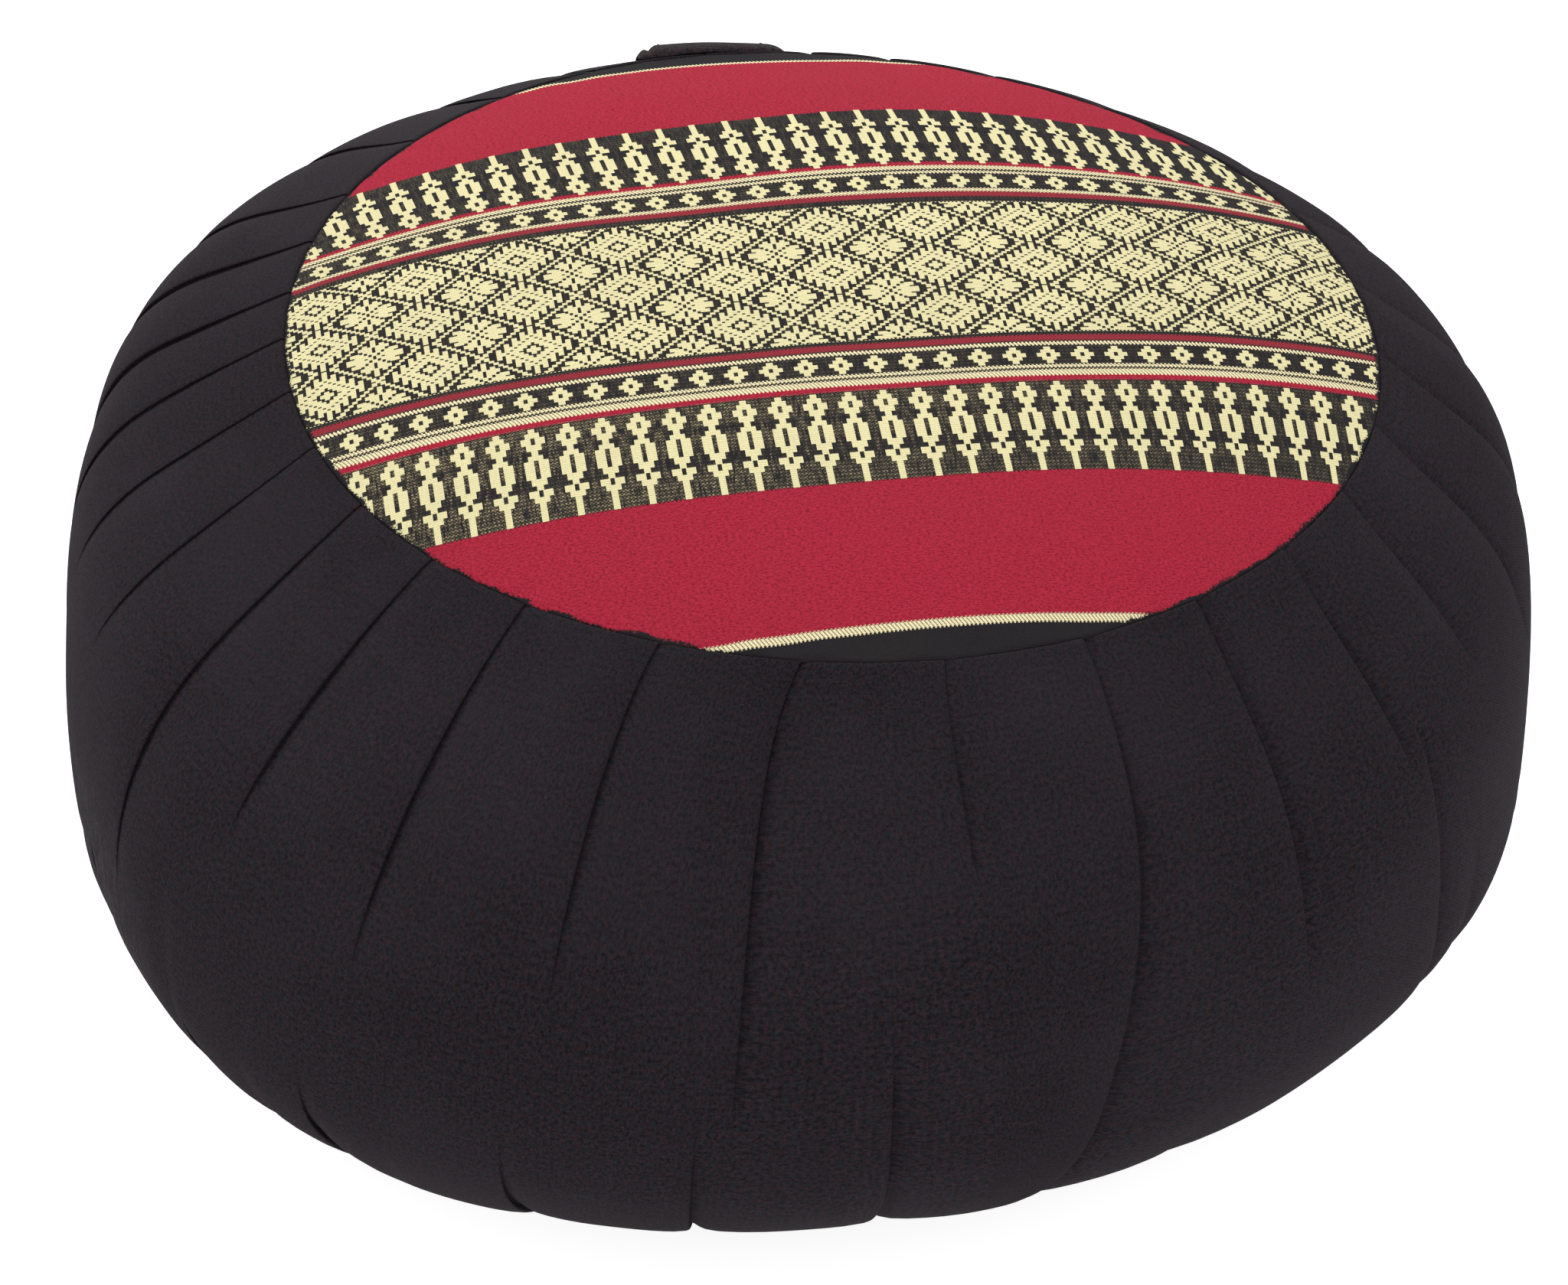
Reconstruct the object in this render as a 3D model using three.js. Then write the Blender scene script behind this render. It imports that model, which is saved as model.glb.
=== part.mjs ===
// A round meditation cushion: a firm filled body with a pleated side wall, a crowned woven panel
// sewn into its top, a plain round panel sewn under it, and a carrying strap behind.
// Millimetres, +Z up. The origin is on the floor, on the body's axis. The front is towards -Y.
import * as THREE from 'three';

// Heights and radii of the filled body
const SEAM_RADIUS = 136.5;
const SEAM_HEIGHT = 183;
const CROWN = 18;
const CROWN_POWER = 2.8;
const WIDEST_RADIUS = 200;
const WIDEST_HEIGHT = 81;
const CONTACT_RADIUS = 104;

// The side wall's curve: how it leaves the seam, stands at the widest line and meets the floor
const SHOULDER_LENGTH = 53;
const SHOULDER_ANGLE = 34;
const UPPER_FULLNESS = 61;
const LOWER_FULLNESS = 42;
const UNDERCUT = 35;
const BASE_SEAM_AT = 1.86;

// The middle of the top panel, which sits a little to the right of the body's axis
const PANEL_MIDDLE = { x: 20, y: 6 };

// A hand-stuffed body isn't quite round: waves round each ring, in millimetres
const SEAM_WAVES = [
  { count: 1, cosine: 20, sine: 8 },
  { count: 2, cosine: 5.5, sine: -5 },
  { count: 3, cosine: 2, sine: -1 },
];
const WIDEST_WAVES = [
  { count: 2, cosine: -6, sine: -11 },
  { count: 3, cosine: 8, sine: -5 },
];
const CONTACT_WAVES = [
  { count: 1, cosine: -2, sine: 4 },
  { count: 2, cosine: 16, sine: 0 },
];
const SHOULDER_WAVES = [
  { count: 1, cosine: -2, sine: 6 },
  { count: 2, cosine: 0, sine: 2 },
];
const FULLNESS_WAVES = [{ count: 2, cosine: 12, sine: 1 }];

// Cloth and the gap between neighbouring pieces
const CLOTH = 2;
const GAP = 0.4;

// The folds of the wall, anticlockwise from +X. Levels run from 0 at the top seam through 1 at the
// widest line to 2 at the floor. Each fold leaves the top seam at an angle, turns back by its swing
// just under the seam and by its lean over each level after that, and fades out at its reach.
// Another fold comes up from the base seam, some degrees behind it. Depths are in millimetres.
const FOLDS = [
  { at: 9, swing: 2, lean: 2, depth: 2.2, reach: 0.9, behind: 3, baseDepth: 2.2 },
  { at: 22, swing: 1, lean: 3, depth: 2.6, reach: 1.1, behind: 4, baseDepth: 2.0 },
  { at: 35, swing: 2, lean: 2, depth: 2.0, reach: 0.8, behind: 3, baseDepth: 2.4 },
  { at: 48, swing: 1, lean: 4, depth: 2.8, reach: 1.3, behind: 4, baseDepth: 2.0 },
  { at: 61, swing: 1, lean: 2, depth: 2.2, reach: 0.9, behind: 3, baseDepth: 2.4 },
  { at: 73, swing: 0, lean: 1, depth: 2.4, reach: 1.0, behind: 3, baseDepth: 2.0 },
  { at: 82, swing: 0, lean: 0, depth: 2.0, reach: 0.9, behind: 3, baseDepth: 2.0 },
  { at: 94, swing: 0, lean: 0, depth: 0.6, reach: 0.7, behind: 3, baseDepth: 0.6 },
  { at: 107, swing: 0, lean: 0, depth: 2.0, reach: 0.9, behind: 2, baseDepth: 2.0 },
  { at: 119, swing: 1, lean: 1, depth: 2.6, reach: 1.2, behind: 3, baseDepth: 2.2 },
  { at: 132, swing: 1, lean: 2, depth: 2.2, reach: 0.8, behind: 4, baseDepth: 2.4 },
  { at: 145, swing: 1, lean: 1, depth: 2.6, reach: 1.0, behind: 3, baseDepth: 2.0 },
  { at: 155, swing: 1, lean: 1, depth: 2.8, reach: 1.0, behind: 3, baseDepth: 2.2 },
  { at: 165.5, swing: 1, lean: 1, depth: 3.0, reach: 1.1, behind: 3, baseDepth: 2.0 },
  { at: 175, swing: 1, lean: 0, depth: 2.4, reach: 0.9, behind: 3, baseDepth: 2.2 },
  { at: 186, swing: 1, lean: 0, depth: 1.8, reach: 0.7, behind: 4, baseDepth: 2.0 },
  { at: 198, swing: 1, lean: -1, depth: 2.0, reach: 0.7, behind: -6, baseDepth: 3.0 },
  { at: 211.5, swing: 1.5, lean: -2, depth: 2.8, reach: 1.1, behind: 4, baseDepth: 2.4 },
  { at: 226, swing: 3, lean: -2, depth: 3.0, reach: 0.8, behind: 4, baseDepth: 2.2 },
  { at: 241, swing: 3, lean: -1, depth: 3.0, reach: 0.9, behind: 4, baseDepth: 2.6 },
  { at: 259, swing: 4, lean: 1, depth: 3.0, reach: 0.9, behind: 3, baseDepth: 2.6 },
  { at: 275.5, swing: 5, lean: 3, depth: 3.4, reach: 1.2, behind: 3, baseDepth: 3.2 },
  { at: 290.5, swing: 2, lean: 2, depth: 2.2, reach: 0.6, behind: 6, baseDepth: 3.6 },
  { at: 304.5, swing: 0.5, lean: 12, depth: 3.8, reach: 2.0, behind: 3, baseDepth: 1.0 },
  { at: 316.5, swing: 1, lean: 5, depth: 3.4, reach: 0.9, behind: 5, baseDepth: 2.6 },
  { at: 327.5, swing: 2, lean: 2, depth: 3.0, reach: 0.7, behind: -2, baseDepth: 3.2 },
  { at: 337.5, swing: 2, lean: 2, depth: 2.6, reach: 0.8, behind: 3, baseDepth: 2.4 },
  { at: 347.5, swing: 2, lean: 2, depth: 2.4, reach: 0.9, behind: 3, baseDepth: 2.2 },
  { at: 358, swing: 2, lean: 2, depth: 2.4, reach: 1.0, behind: 3, baseDepth: 2.0 },
];

// A fold's section: the cloth on its near side rolls over a sharp edge, then climbs slowly back
const EDGE_DEGREES = 0.35;
const ROLL_SHARE = 0.2;
const ROLL_DEGREES = 2.5;
const CLIMB_DEGREES = 5;

// Along its length a fold opens from the seam that holds it, and fades before it reaches its end
const SEAM_SHARE = 0.35;
const OPENING_LEVELS = 0.3;
const FADE_FROM = 0.5;
const FADE_TO = 1.25;
const BASE_FOLD_TOP = 0.7;
const BASE_FOLD_FULL = 1.3;
const SWING_LEVELS = 0.15;

// Rings of each face, from the middle out, as shares of the seam's radius
const BED_RINGS = [0.4, 0.72, 1];
const CROWN_RINGS = [0.2, 0.4, 0.56, 0.72, 0.86, 1];
const PANEL_SIDES = 72;
const WALL_ROWS = 22;

// The carrying strap, a band of folded cloth from seam to seam. It lies close over the shoulder,
// and its slack hangs low: the slack's middle comes later down the strap as the sag grows.
const STRAP_ANGLE = 93.5;
const STRAP_WIDTH = 41;
const STRAP_THICKNESS = 2.6;
const STRAP_SEAT = 0.5;
const STRAP_SLACK = 18;
const STRAP_SAG = 1.5;
const STRAP_START = 0.04;
const STRAP_END = 1.8;
const STRAP_STEPS = 22;

const radians = THREE.MathUtils.degToRad;
const smoothstep = THREE.MathUtils.smoothstep;

// The size of an uneven ring in one direction: its mean and its waves
function around(mean, waves, angle) {
  return waves.reduce(
    (sum, wave) => sum + wave.cosine * Math.cos(wave.count * angle) + wave.sine * Math.sin(wave.count * angle),
    mean,
  );
}

function seamRadius(angle) {
  return around(SEAM_RADIUS, SEAM_WAVES, angle);
}

// The wall's curve in one direction, as distance from the axis and height
function wallCurves(angle) {
  const seam = seamRadius(angle);
  const widest = around(WIDEST_RADIUS, WIDEST_WAVES, angle);
  const contact = around(CONTACT_RADIUS, CONTACT_WAVES, angle);
  const shoulder = around(SHOULDER_LENGTH, SHOULDER_WAVES, angle);
  const fullness = around(UPPER_FULLNESS, FULLNESS_WAVES, angle);
  const slope = radians(SHOULDER_ANGLE);
  const upper = new THREE.CubicBezierCurve(
    new THREE.Vector2(seam, SEAM_HEIGHT),
    new THREE.Vector2(seam + shoulder * Math.cos(slope), SEAM_HEIGHT - shoulder * Math.sin(slope)),
    new THREE.Vector2(widest, WIDEST_HEIGHT + fullness),
    new THREE.Vector2(widest, WIDEST_HEIGHT),
  );
  const lower = new THREE.CubicBezierCurve(
    new THREE.Vector2(widest, WIDEST_HEIGHT),
    new THREE.Vector2(widest, WIDEST_HEIGHT - LOWER_FULLNESS),
    new THREE.Vector2(contact + UNDERCUT, 0),
    new THREE.Vector2(contact, 0),
  );
  return { upper, lower };
}

// A point of the wall at a level from 0 to 2, moved along the wall's outward normal
function wallPoint(angle, level, outward) {
  const { upper, lower } = wallCurves(angle);
  const curve = level < 1 ? upper : lower;
  const share = level < 1 ? level : level - 1;
  const point = curve.getPoint(share);
  const along = curve.getTangent(share);
  return new THREE.Vector2(point.x - along.y * outward, point.y + along.x * outward);
}

function inSpace(angle, point) {
  return new THREE.Vector3(point.x * Math.cos(angle), point.x * Math.sin(angle), point.y);
}

// How far in the cloth lies at a signed distance past a fold's edge, as a share of its depth
function foldSection(degreesPast) {
  if (degreesPast < 0) {
    return ROLL_SHARE * smoothstep(degreesPast, -ROLL_DEGREES, 0);
  }
  return 1 - smoothstep(degreesPast, 0, CLIMB_DEGREES);
}

// How much of a fold's depth is left at a level, under the top seam and over the base seam
function topFade(fold, level) {
  const opening = SEAM_SHARE + (1 - SEAM_SHARE) * smoothstep(level, 0, OPENING_LEVELS);
  return opening * (1 - smoothstep(level, fold.reach * FADE_FROM, fold.reach * FADE_TO));
}

function baseFade(level) {
  const opening = SEAM_SHARE + (1 - SEAM_SHARE) * smoothstep(BASE_SEAM_AT - level, 0, OPENING_LEVELS);
  return opening * smoothstep(level, BASE_FOLD_TOP, BASE_FOLD_FULL);
}

// Where each column of the wall's mesh starts on the top seam: a pair on each fold's edge, a pair
// on the edge of the fold from the base, and one on each slope between them
function wallColumns() {
  const starts = FOLDS.flatMap((fold, index) => {
    const base = -fold.behind;
    const halfClimb = CLIMB_DEGREES / 2;
    const halfway = spanAfter(index) / 2;
    const past = [-EDGE_DEGREES, EDGE_DEGREES, base - EDGE_DEGREES, base + EDGE_DEGREES, halfClimb, halfway];
    return past.map((degrees) => fold.at + degrees);
  });
  return starts.sort((a, b) => a - b);
}

// The degrees from one fold to the next round the top seam
function spanAfter(index) {
  const next = FOLDS[(index + 1) % FOLDS.length];
  return THREE.MathUtils.euclideanModulo(next.at - FOLDS[index].at, 360);
}

// How far a fold has turned back at a level
function turnedBack(fold, level) {
  return fold.swing * (1 - Math.exp(-level / SWING_LEVELS)) + fold.lean * level;
}

// Where a column stands at a level, carried evenly between the folds on its two sides
function columnAngle(start, level) {
  const place = THREE.MathUtils.euclideanModulo(start - FOLDS[0].at, 360) + FOLDS[0].at;
  const index = FOLDS.findLastIndex((fold) => fold.at <= place);
  const next = FOLDS[(index + 1) % FOLDS.length];
  const share = (place - FOLDS[index].at) / spanAfter(index);
  const back = THREE.MathUtils.lerp(turnedBack(FOLDS[index], level), turnedBack(next, level), share);
  return radians(start - back);
}

// How far in the cloth lies on one column at one level, from every fold near it
function pleatDepth(start, level) {
  return FOLDS.reduce((depth, fold) => {
    const past = THREE.MathUtils.euclideanModulo(start - fold.at + 180, 360) - 180;
    const top = fold.depth * topFade(fold, level) * foldSection(past);
    const base = fold.baseDepth * baseFade(level) * foldSection(past + fold.behind);
    return Math.max(depth, top, base);
  }, 0);
}

// The height of the crowned top at a share of the seam's radius
function crownHeight(share) {
  return SEAM_HEIGHT + CROWN * (1 - share ** CROWN_POWER);
}

// A ring of the crowned top: a share of the way from the panel's middle to the seam
function topRing(angles, share, inset, drop) {
  return angles.map((angle) => {
    const seam = seamRadius(angle) - inset;
    const x = PANEL_MIDDLE.x + share * (seam * Math.cos(angle) - PANEL_MIDDLE.x);
    const y = PANEL_MIDDLE.y + share * (seam * Math.sin(angle) - PANEL_MIDDLE.y);
    return new THREE.Vector3(x, y, crownHeight(share) - drop);
  });
}

// A ring of the underside, on the wall's curve at a level, or level with the floor inside it
function baseRing(angles, level, inset, lift) {
  return angles.map((angle) => {
    const point = wallPoint(angle, level, 0);
    return inSpace(angle, new THREE.Vector2(point.x - inset, point.y + lift));
  });
}

// A closed solid from a top point, rings that run anticlockwise from the top down, and a bottom point
function ringSolid(top, rings, bottom) {
  const points = [top, ...rings.flat(), bottom];
  const sides = rings[0].length;
  const last = points.length - 1;
  const faces = [];
  for (let side = 0; side < sides; side += 1) {
    const after = (side + 1) % sides;
    faces.push(0, 1 + side, 1 + after);
    for (let ring = 0; ring < rings.length - 1; ring += 1) {
      const upper = 1 + ring * sides;
      const lower = upper + sides;
      faces.push(upper + side, lower + side, lower + after);
      faces.push(upper + side, lower + after, upper + after);
    }
    const end = 1 + (rings.length - 1) * sides;
    faces.push(end + side, last, end + after);
  }
  const geometry = new THREE.BufferGeometry().setFromPoints(points);
  geometry.setIndex(faces);
  geometry.computeVertexNormals();
  return geometry;
}

function evenAngles(sides) {
  return Array.from({ length: sides }, (_, side) => (side / sides) * Math.PI * 2);
}

// The filled body, with a shallow bed for each panel, so that each seam is a fine line
function cushionBody() {
  const bed = CLOTH + GAP;
  const starts = wallColumns();
  const seamAngles = starts.map((start) => columnAngle(start, 0));
  const baseAngles = starts.map((start) => columnAngle(start, BASE_SEAM_AT));
  const wall = Array.from({ length: WALL_ROWS + 1 }, (_, row) => {
    const level = (row / WALL_ROWS) * BASE_SEAM_AT;
    const onSeam = row === 0 || row === WALL_ROWS;
    return starts.map((start) => {
      const angle = columnAngle(start, level);
      const depth = onSeam ? 0 : pleatDepth(start, level);
      return inSpace(angle, wallPoint(angle, level, -depth));
    });
  });
  const rings = [
    ...BED_RINGS.map((share) => topRing(seamAngles, share, 0, bed)),
    ...wall,
    baseRing(baseAngles, BASE_SEAM_AT, 0, bed),
    baseRing(baseAngles, 2, 0, bed),
  ];
  const top = new THREE.Vector3(PANEL_MIDDLE.x, PANEL_MIDDLE.y, crownHeight(0) - bed);
  return ringSolid(top, rings, new THREE.Vector3(0, 0, bed));
}

// The woven panel, a crowned disc of cloth let into the top
function topPanel() {
  const angles = evenAngles(PANEL_SIDES);
  const rings = [
    ...CROWN_RINGS.map((share) => topRing(angles, share, GAP, 0)),
    ...BED_RINGS.toReversed().map((share) => topRing(angles, share, GAP, CLOTH)),
  ];
  const middle = (drop) => new THREE.Vector3(PANEL_MIDDLE.x, PANEL_MIDDLE.y, crownHeight(0) - drop);
  return ringSolid(middle(0), rings, middle(CLOTH));
}

// The plain panel under the cushion, flat where it lies on the floor
function basePanel() {
  const angles = evenAngles(PANEL_SIDES);
  const rings = [
    baseRing(angles, 2, 0, CLOTH),
    baseRing(angles, BASE_SEAM_AT, GAP, CLOTH),
    baseRing(angles, BASE_SEAM_AT, GAP, 0),
    baseRing(angles, (2 + BASE_SEAM_AT) / 2, 0, 0),
    baseRing(angles, 2, 0, 0),
  ];
  return ringSolid(new THREE.Vector3(0, 0, CLOTH), rings, new THREE.Vector3(0, 0, 0));
}

// The strap seen from the side: one face near the wall, the other a strap's thickness outside it
function carryHandle() {
  const angle = radians(STRAP_ANGLE);
  const face = (outside) =>
    Array.from({ length: STRAP_STEPS + 1 }, (_, step) => {
      const share = step / STRAP_STEPS;
      const level = THREE.MathUtils.lerp(STRAP_START, STRAP_END, share);
      const slack = STRAP_SLACK * Math.sin(Math.PI * share ** STRAP_SAG) ** 2;
      return wallPoint(angle, level, STRAP_SEAT + slack + outside);
    });
  const outline = new THREE.Shape([...face(0), ...face(STRAP_THICKNESS).toReversed()]);
  const geometry = new THREE.ExtrudeGeometry(outline, { depth: STRAP_WIDTH, bevelEnabled: false });
  geometry.translate(0, 0, -STRAP_WIDTH / 2);
  geometry.rotateX(Math.PI / 2);
  geometry.rotateZ(angle);
  return geometry;
}

function piece(name, geometry, color) {
  const material = new THREE.MeshStandardMaterial({ color, roughness: 0.9, metalness: 0 });
  const mesh = new THREE.Mesh(geometry, material);
  mesh.name = name;
  return mesh;
}

const cushion = new THREE.Group();
cushion.add(piece('cushion_body', cushionBody(), 0x262327));
cushion.add(piece('top_panel', topPanel(), 0xa92b40));
cushion.add(piece('base_panel', basePanel(), 0x2a272b));
cushion.add(piece('carry_handle', carryHandle(), 0x242126));

export default cushion;
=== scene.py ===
"""A round meditation cushion with a pleated side wall and a crowned woven top.

Metres, +Z up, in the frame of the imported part. The front is towards -Y. Angles run anticlockwise
from +X. Levels run down the side wall: 0 at the top seam, 1 at the widest line, 2 at the floor.
"""
import math

import bpy
import numpy as np
from bpy.props import FloatProperty, FloatVectorProperty, IntProperty, PointerProperty
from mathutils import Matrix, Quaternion, Vector


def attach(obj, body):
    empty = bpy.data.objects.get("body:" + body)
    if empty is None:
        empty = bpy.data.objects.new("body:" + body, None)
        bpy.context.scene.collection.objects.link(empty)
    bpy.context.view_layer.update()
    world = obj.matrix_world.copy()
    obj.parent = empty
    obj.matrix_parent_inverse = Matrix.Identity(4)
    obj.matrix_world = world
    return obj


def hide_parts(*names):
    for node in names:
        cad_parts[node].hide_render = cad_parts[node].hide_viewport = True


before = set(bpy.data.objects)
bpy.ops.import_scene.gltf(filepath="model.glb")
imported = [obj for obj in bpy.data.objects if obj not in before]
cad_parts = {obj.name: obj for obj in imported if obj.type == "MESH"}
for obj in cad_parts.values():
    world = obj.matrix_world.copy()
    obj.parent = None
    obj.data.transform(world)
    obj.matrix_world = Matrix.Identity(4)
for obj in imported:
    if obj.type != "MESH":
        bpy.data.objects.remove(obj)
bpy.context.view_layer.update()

bl_info = {
    "name": "Round meditation cushion",
    "version": (1, 0, 0),
    "blender": (4, 5, 0),
    "location": "3D View > Sidebar > Cushion",
    "description": "Builds a pleated round cushion with a woven top around its packed frame",
    "category": "Object",
}

MM = 0.001
BODY = "root"

# How the side wall leaves the top seam, stands at the widest line and meets the floor
SHOULDER_LENGTH = 53 * MM
SHOULDER_ANGLE = math.radians(34)
UPPER_FULLNESS = 61 * MM
LOWER_FULLNESS = 42 * MM
UNDERCUT = 35 * MM
CROWN_POWER = 2.8
BASE_SEAM_AT = 1.86
PANEL_MIDDLE = (20 * MM, 6 * MM)
SEAM_GAP = 0.4 * MM

# The levels of the wall's first rows, and the soft roll under its seam: how far it stands out, and
# over which levels it rises and fades
FIRST_LEVELS = (0, 0.004, 0.008)
SEAM_ROLL = 0.5 * MM
SEAM_ROLL_RISE = 0.006
SEAM_ROLL_FADE = 0.06

# Between two folds the cloth swells out: over which levels this rises and fades, and how roundly
PUFF_RISE = 0.12
PUFF_FADE = 0.5
PUFF_ROUNDNESS = 1.5

# How far the filling lies under the top panel, over the base seam and, in the middle, over the floor
BED_UNDER_TOP = 2.6 * MM
BED_OVER_BASE = 2.4 * MM
BED_MIDDLE = 4.6 * MM

# The edges at the top seam, as rings: millimetres outwards from the seam's line and up from it
WALL_EDGE = ((-2.4, -2.6), (-1.2, -2.0), (-0.5, -1.0))
PANEL_EDGE = ((-0.75, 0), (-0.45, -0.35), (-0.4, -1.0), (-0.9, -1.4))

# The panels: how thick their cloth is, the sides of their rings, and how the woven one swells and is
# puckered near its seam, between two shares of the way to it
PANEL_THICKNESS = 1.4 * MM
PANEL_SIDES = 480
BASE_SIDES = 240
PANEL_SWELL = 0.5 * MM
PUCKER = 0.22 * MM
PUCKERS_ROUND = 46
PUCKERS_BEGIN = 0.93
PUCKERS_FULL = 0.99

# The strap's section: points across it, how its edges curl to the wall, and its lengthwise crease
STRAP_SIDES = 45
CURL = 0.5 * MM
CURL_OF_LEAN = 1.6
CREASE_FROM_EDGE = 3.2 * MM
CREASE_WIDTH = 0.9 * MM
THREAD_LIFT = 0.05 * MM

# How the strap wanders sideways along its length, and how its face ripples along and across it: how
# far, and through how many radians
STRAP_WAVE = 0.5 * MM
WAVE_ALONG = 9
STRAP_RIPPLE = 0.35 * MM
RIPPLE_ALONG = 14
RIPPLE_ACROSS = 5

# Its ends are thin where they go into the seams: over what share of its length, and how thin. They
# also sit closer to the wall there, and all of it bends round the wall.
TUCK_SHARE = 0.03
TUCK_THIN = 0.35
SEAT_AT_ENDS = 0.45
SEAT_RISE = 0.06
STRAP_BEND = 210 * MM

# A hand-stuffed body isn't quite round: waves round each ring as (count, cosine, sine)
SEAM_WAVES = ((1, 20 * MM, 8 * MM), (2, 5.5 * MM, -5 * MM), (3, 2 * MM, -1 * MM))
WIDEST_WAVES = ((2, -6 * MM, -11 * MM), (3, 8 * MM, -5 * MM))
CONTACT_WAVES = ((1, -2 * MM, 4 * MM), (2, 16 * MM, 0))
SHOULDER_WAVES = ((1, -2 * MM, 6 * MM), (2, 0, 2 * MM))
FULLNESS_WAVES = ((2, 12 * MM, 1 * MM),)

# The folds of the wall, in degrees at the top seam. Each turns back by its swing just under the
# seam and by its lean over each level, and has faded at its reach. Another comes up from the base
# seam, some degrees behind it, and begins at its rise. Depths are in millimetres.
FOLD_COLUMNS = ("at", "swing", "lean", "depth", "reach", "behind", "base_depth", "rise")
FOLD_ROWS = (
    (9, 2, 2, 2.0, 0.7, 3, 1.8, 0.9),
    (22, 1, 3, 2.4, 0.95, 4, 1.8, 0.95),
    (35, 2, 2, 2.0, 0.6, 3, 2.2, 0.8),
    (48, 1, 4, 2.4, 1.1, 4, 1.8, 1.0),
    (61, 1, 2, 2.2, 0.75, 3, 2.2, 0.9),
    (73, 0, 1, 2.2, 0.9, 3, 1.8, 0.9),
    (82, 0, 0, 1.8, 0.6, 3, 2.0, 0.8),
    (94, 0, 0, 0.6, 0.6, 3, 0.6, 1.0),
    (107, 0, 0, 1.8, 0.7, 2, 2.0, 0.9),
    (119, 1, 1, 1.3, 1.0, 3, 2.0, 0.95),
    (132, 1, 2, 1.2, 0.65, 4, 2.2, 0.8),
    (145, 1, 1, 1.3, 0.9, 3, 2.0, 0.9),
    (155, 1, 1, 1.9, 0.8, 3, 2.0, 1.0),
    (165.5, 1, 1, 1.9, 1.0, 3, 1.8, 0.9),
    (175, 1, 0, 1.4, 0.85, 3, 2.0, 0.95),
    (186, 1, 0, 1.2, 0.75, 4, 1.8, 0.8),
    (198, 1, -1, 1.1, 0.7, -6, 2.0, 0.9),
    (211.5, 1.5, -2, 1.8, 1.0, 4, 1.6, 1.0),
    (226, 3, -2, 2.3, 0.66, 4, 1.8, 1.0),
    (241, 3, -1, 2.6, 0.76, 4, 2.4, 0.92),
    (259, 4, 1, 2.6, 0.7, 3, 2.4, 0.9),
    (275.5, 5, 3, 3.0, 1.0, 3, 2.8, 0.8),
    (290.5, 2, 2, 2.2, 0.46, 6, 3.2, 0.62),
    (304.5, 0.5, 10, 3.8, 3.0, 3, 0.8, 1.1),
    (316.5, 1, 5, 3.8, 0.92, 5, 2.4, 1.0),
    (327.5, 2, 2, 3.4, 0.65, -2, 3.4, 0.42),
    (337.5, 2, 2, 2.8, 0.55, 3, 2.2, 0.9),
    (347.5, 2, 2, 2.8, 0.75, 3, 2.0, 0.95),
    (358, 2, 2, 2.2, 0.8, 3, 1.8, 0.9),
)
FOLDS = tuple(dict(zip(FOLD_COLUMNS, row)) for row in FOLD_ROWS)

# Along its length a fold opens from the seam that holds it, and fades over the last of its reach. It
# doubles back all the way before it has its full depth.
SEAM_SHARE = 0.4
OVERLAP_GROWTH = 1.6
OPENING_LEVELS = 0.3
FADE_FROM = 0.6
RISE_LEVELS = 0.3
SWING_LEVELS = 0.15

# The one fold that runs the whole wall leans more the lower it is
LONG_FOLD_REACH = 2
LONG_FOLD_POWER = 1.4

# A fold's section across the cloth: degrees past its edge, sideways move as a share of the overlap,
# and depth as a share of the fold's depth. The cloth turns over the edge, doubles back and comes up.
FOLD_SECTION = (
    (-3.6, 0, 0),
    (-2.0, 0, 0.03),
    (-1.0, 0, 0.09),
    (-0.45, 0, 0.18),
    (-0.16, 0, 0.28),
    (0, -0.05, 0.42),
    (0.1, -0.4, 0.7),
    (0.22, -0.85, 0.95),
    (0.38, -1, 1.08),
    (0.56, -0.75, 1.06),
    (0.76, -0.35, 0.82),
    (1.0, -0.1, 0.56),
    (1.5, 0, 0.36),
    (2.6, 0, 0.2),
    (4.2, 0, 0.07),
    (6.0, 0, 0),
)

# Soft troughs that come up from the base: degrees and level of the top end, the lean and the length
# in levels, and the width and the depth in degrees and millimetres. They fade at both ends.
TROUGH_FADE = 0.4
TROUGH_COLUMNS = ("at", "level", "lean", "length", "width", "depth")
TROUGH_ROWS = (
    (270.5, 0.78, -1, 0.4, 0.9, 1.3),
    (274.5, 0.62, 1, 0.4, 0.8, 1.3),
    (283.5, 0.7, 2, 0.5, 1.2, 0.8),
    (243, 0.9, -2, 0.4, 1.0, 0.8),
    (228, 0.95, 2, 0.4, 1.2, 1.0),
    (219, 0.7, 2, 0.6, 1.0, 0.9),
    (206.5, 0.85, 3, 0.6, 1.1, 1.0),
    (203, 0.9, 3, 0.6, 0.9, 0.9),
    (198, 0.85, 2, 0.6, 1.0, 0.9),
    (331, 0.8, -2, 0.6, 1.2, 0.8),
    (344, 0.9, -1, 0.6, 1.0, 0.8),
    (12, 0.8, 2, 0.6, 1.2, 0.9),
    (58, 0.8, -2, 0.6, 1.2, 0.9),
    (126, 0.8, 2, 0.6, 1.2, 0.9),
    (160, 0.8, -2, 0.6, 1.2, 0.9),
)
TROUGHS = tuple(dict(zip(TROUGH_COLUMNS, row)) for row in TROUGH_ROWS)

# The soft unevenness of hand stuffing, as waves: how high, how many go round, how they lean with the
# level and where they begin, then how they run down the wall and where they begin
LUMP_WAVES = (
    (0.9 * MM, 3, 0, 1.2, 2.1, 0.4),
    (0.5 * MM, 7, -2.2, 0, 3.7, 1 + math.pi / 2),
    (0.25 * MM, 17, 3.1, 0.6, 6.3, 0),
)

# Over these levels beside each seam the lumps ease out
LUMPS_EASE = 0.3


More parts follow.
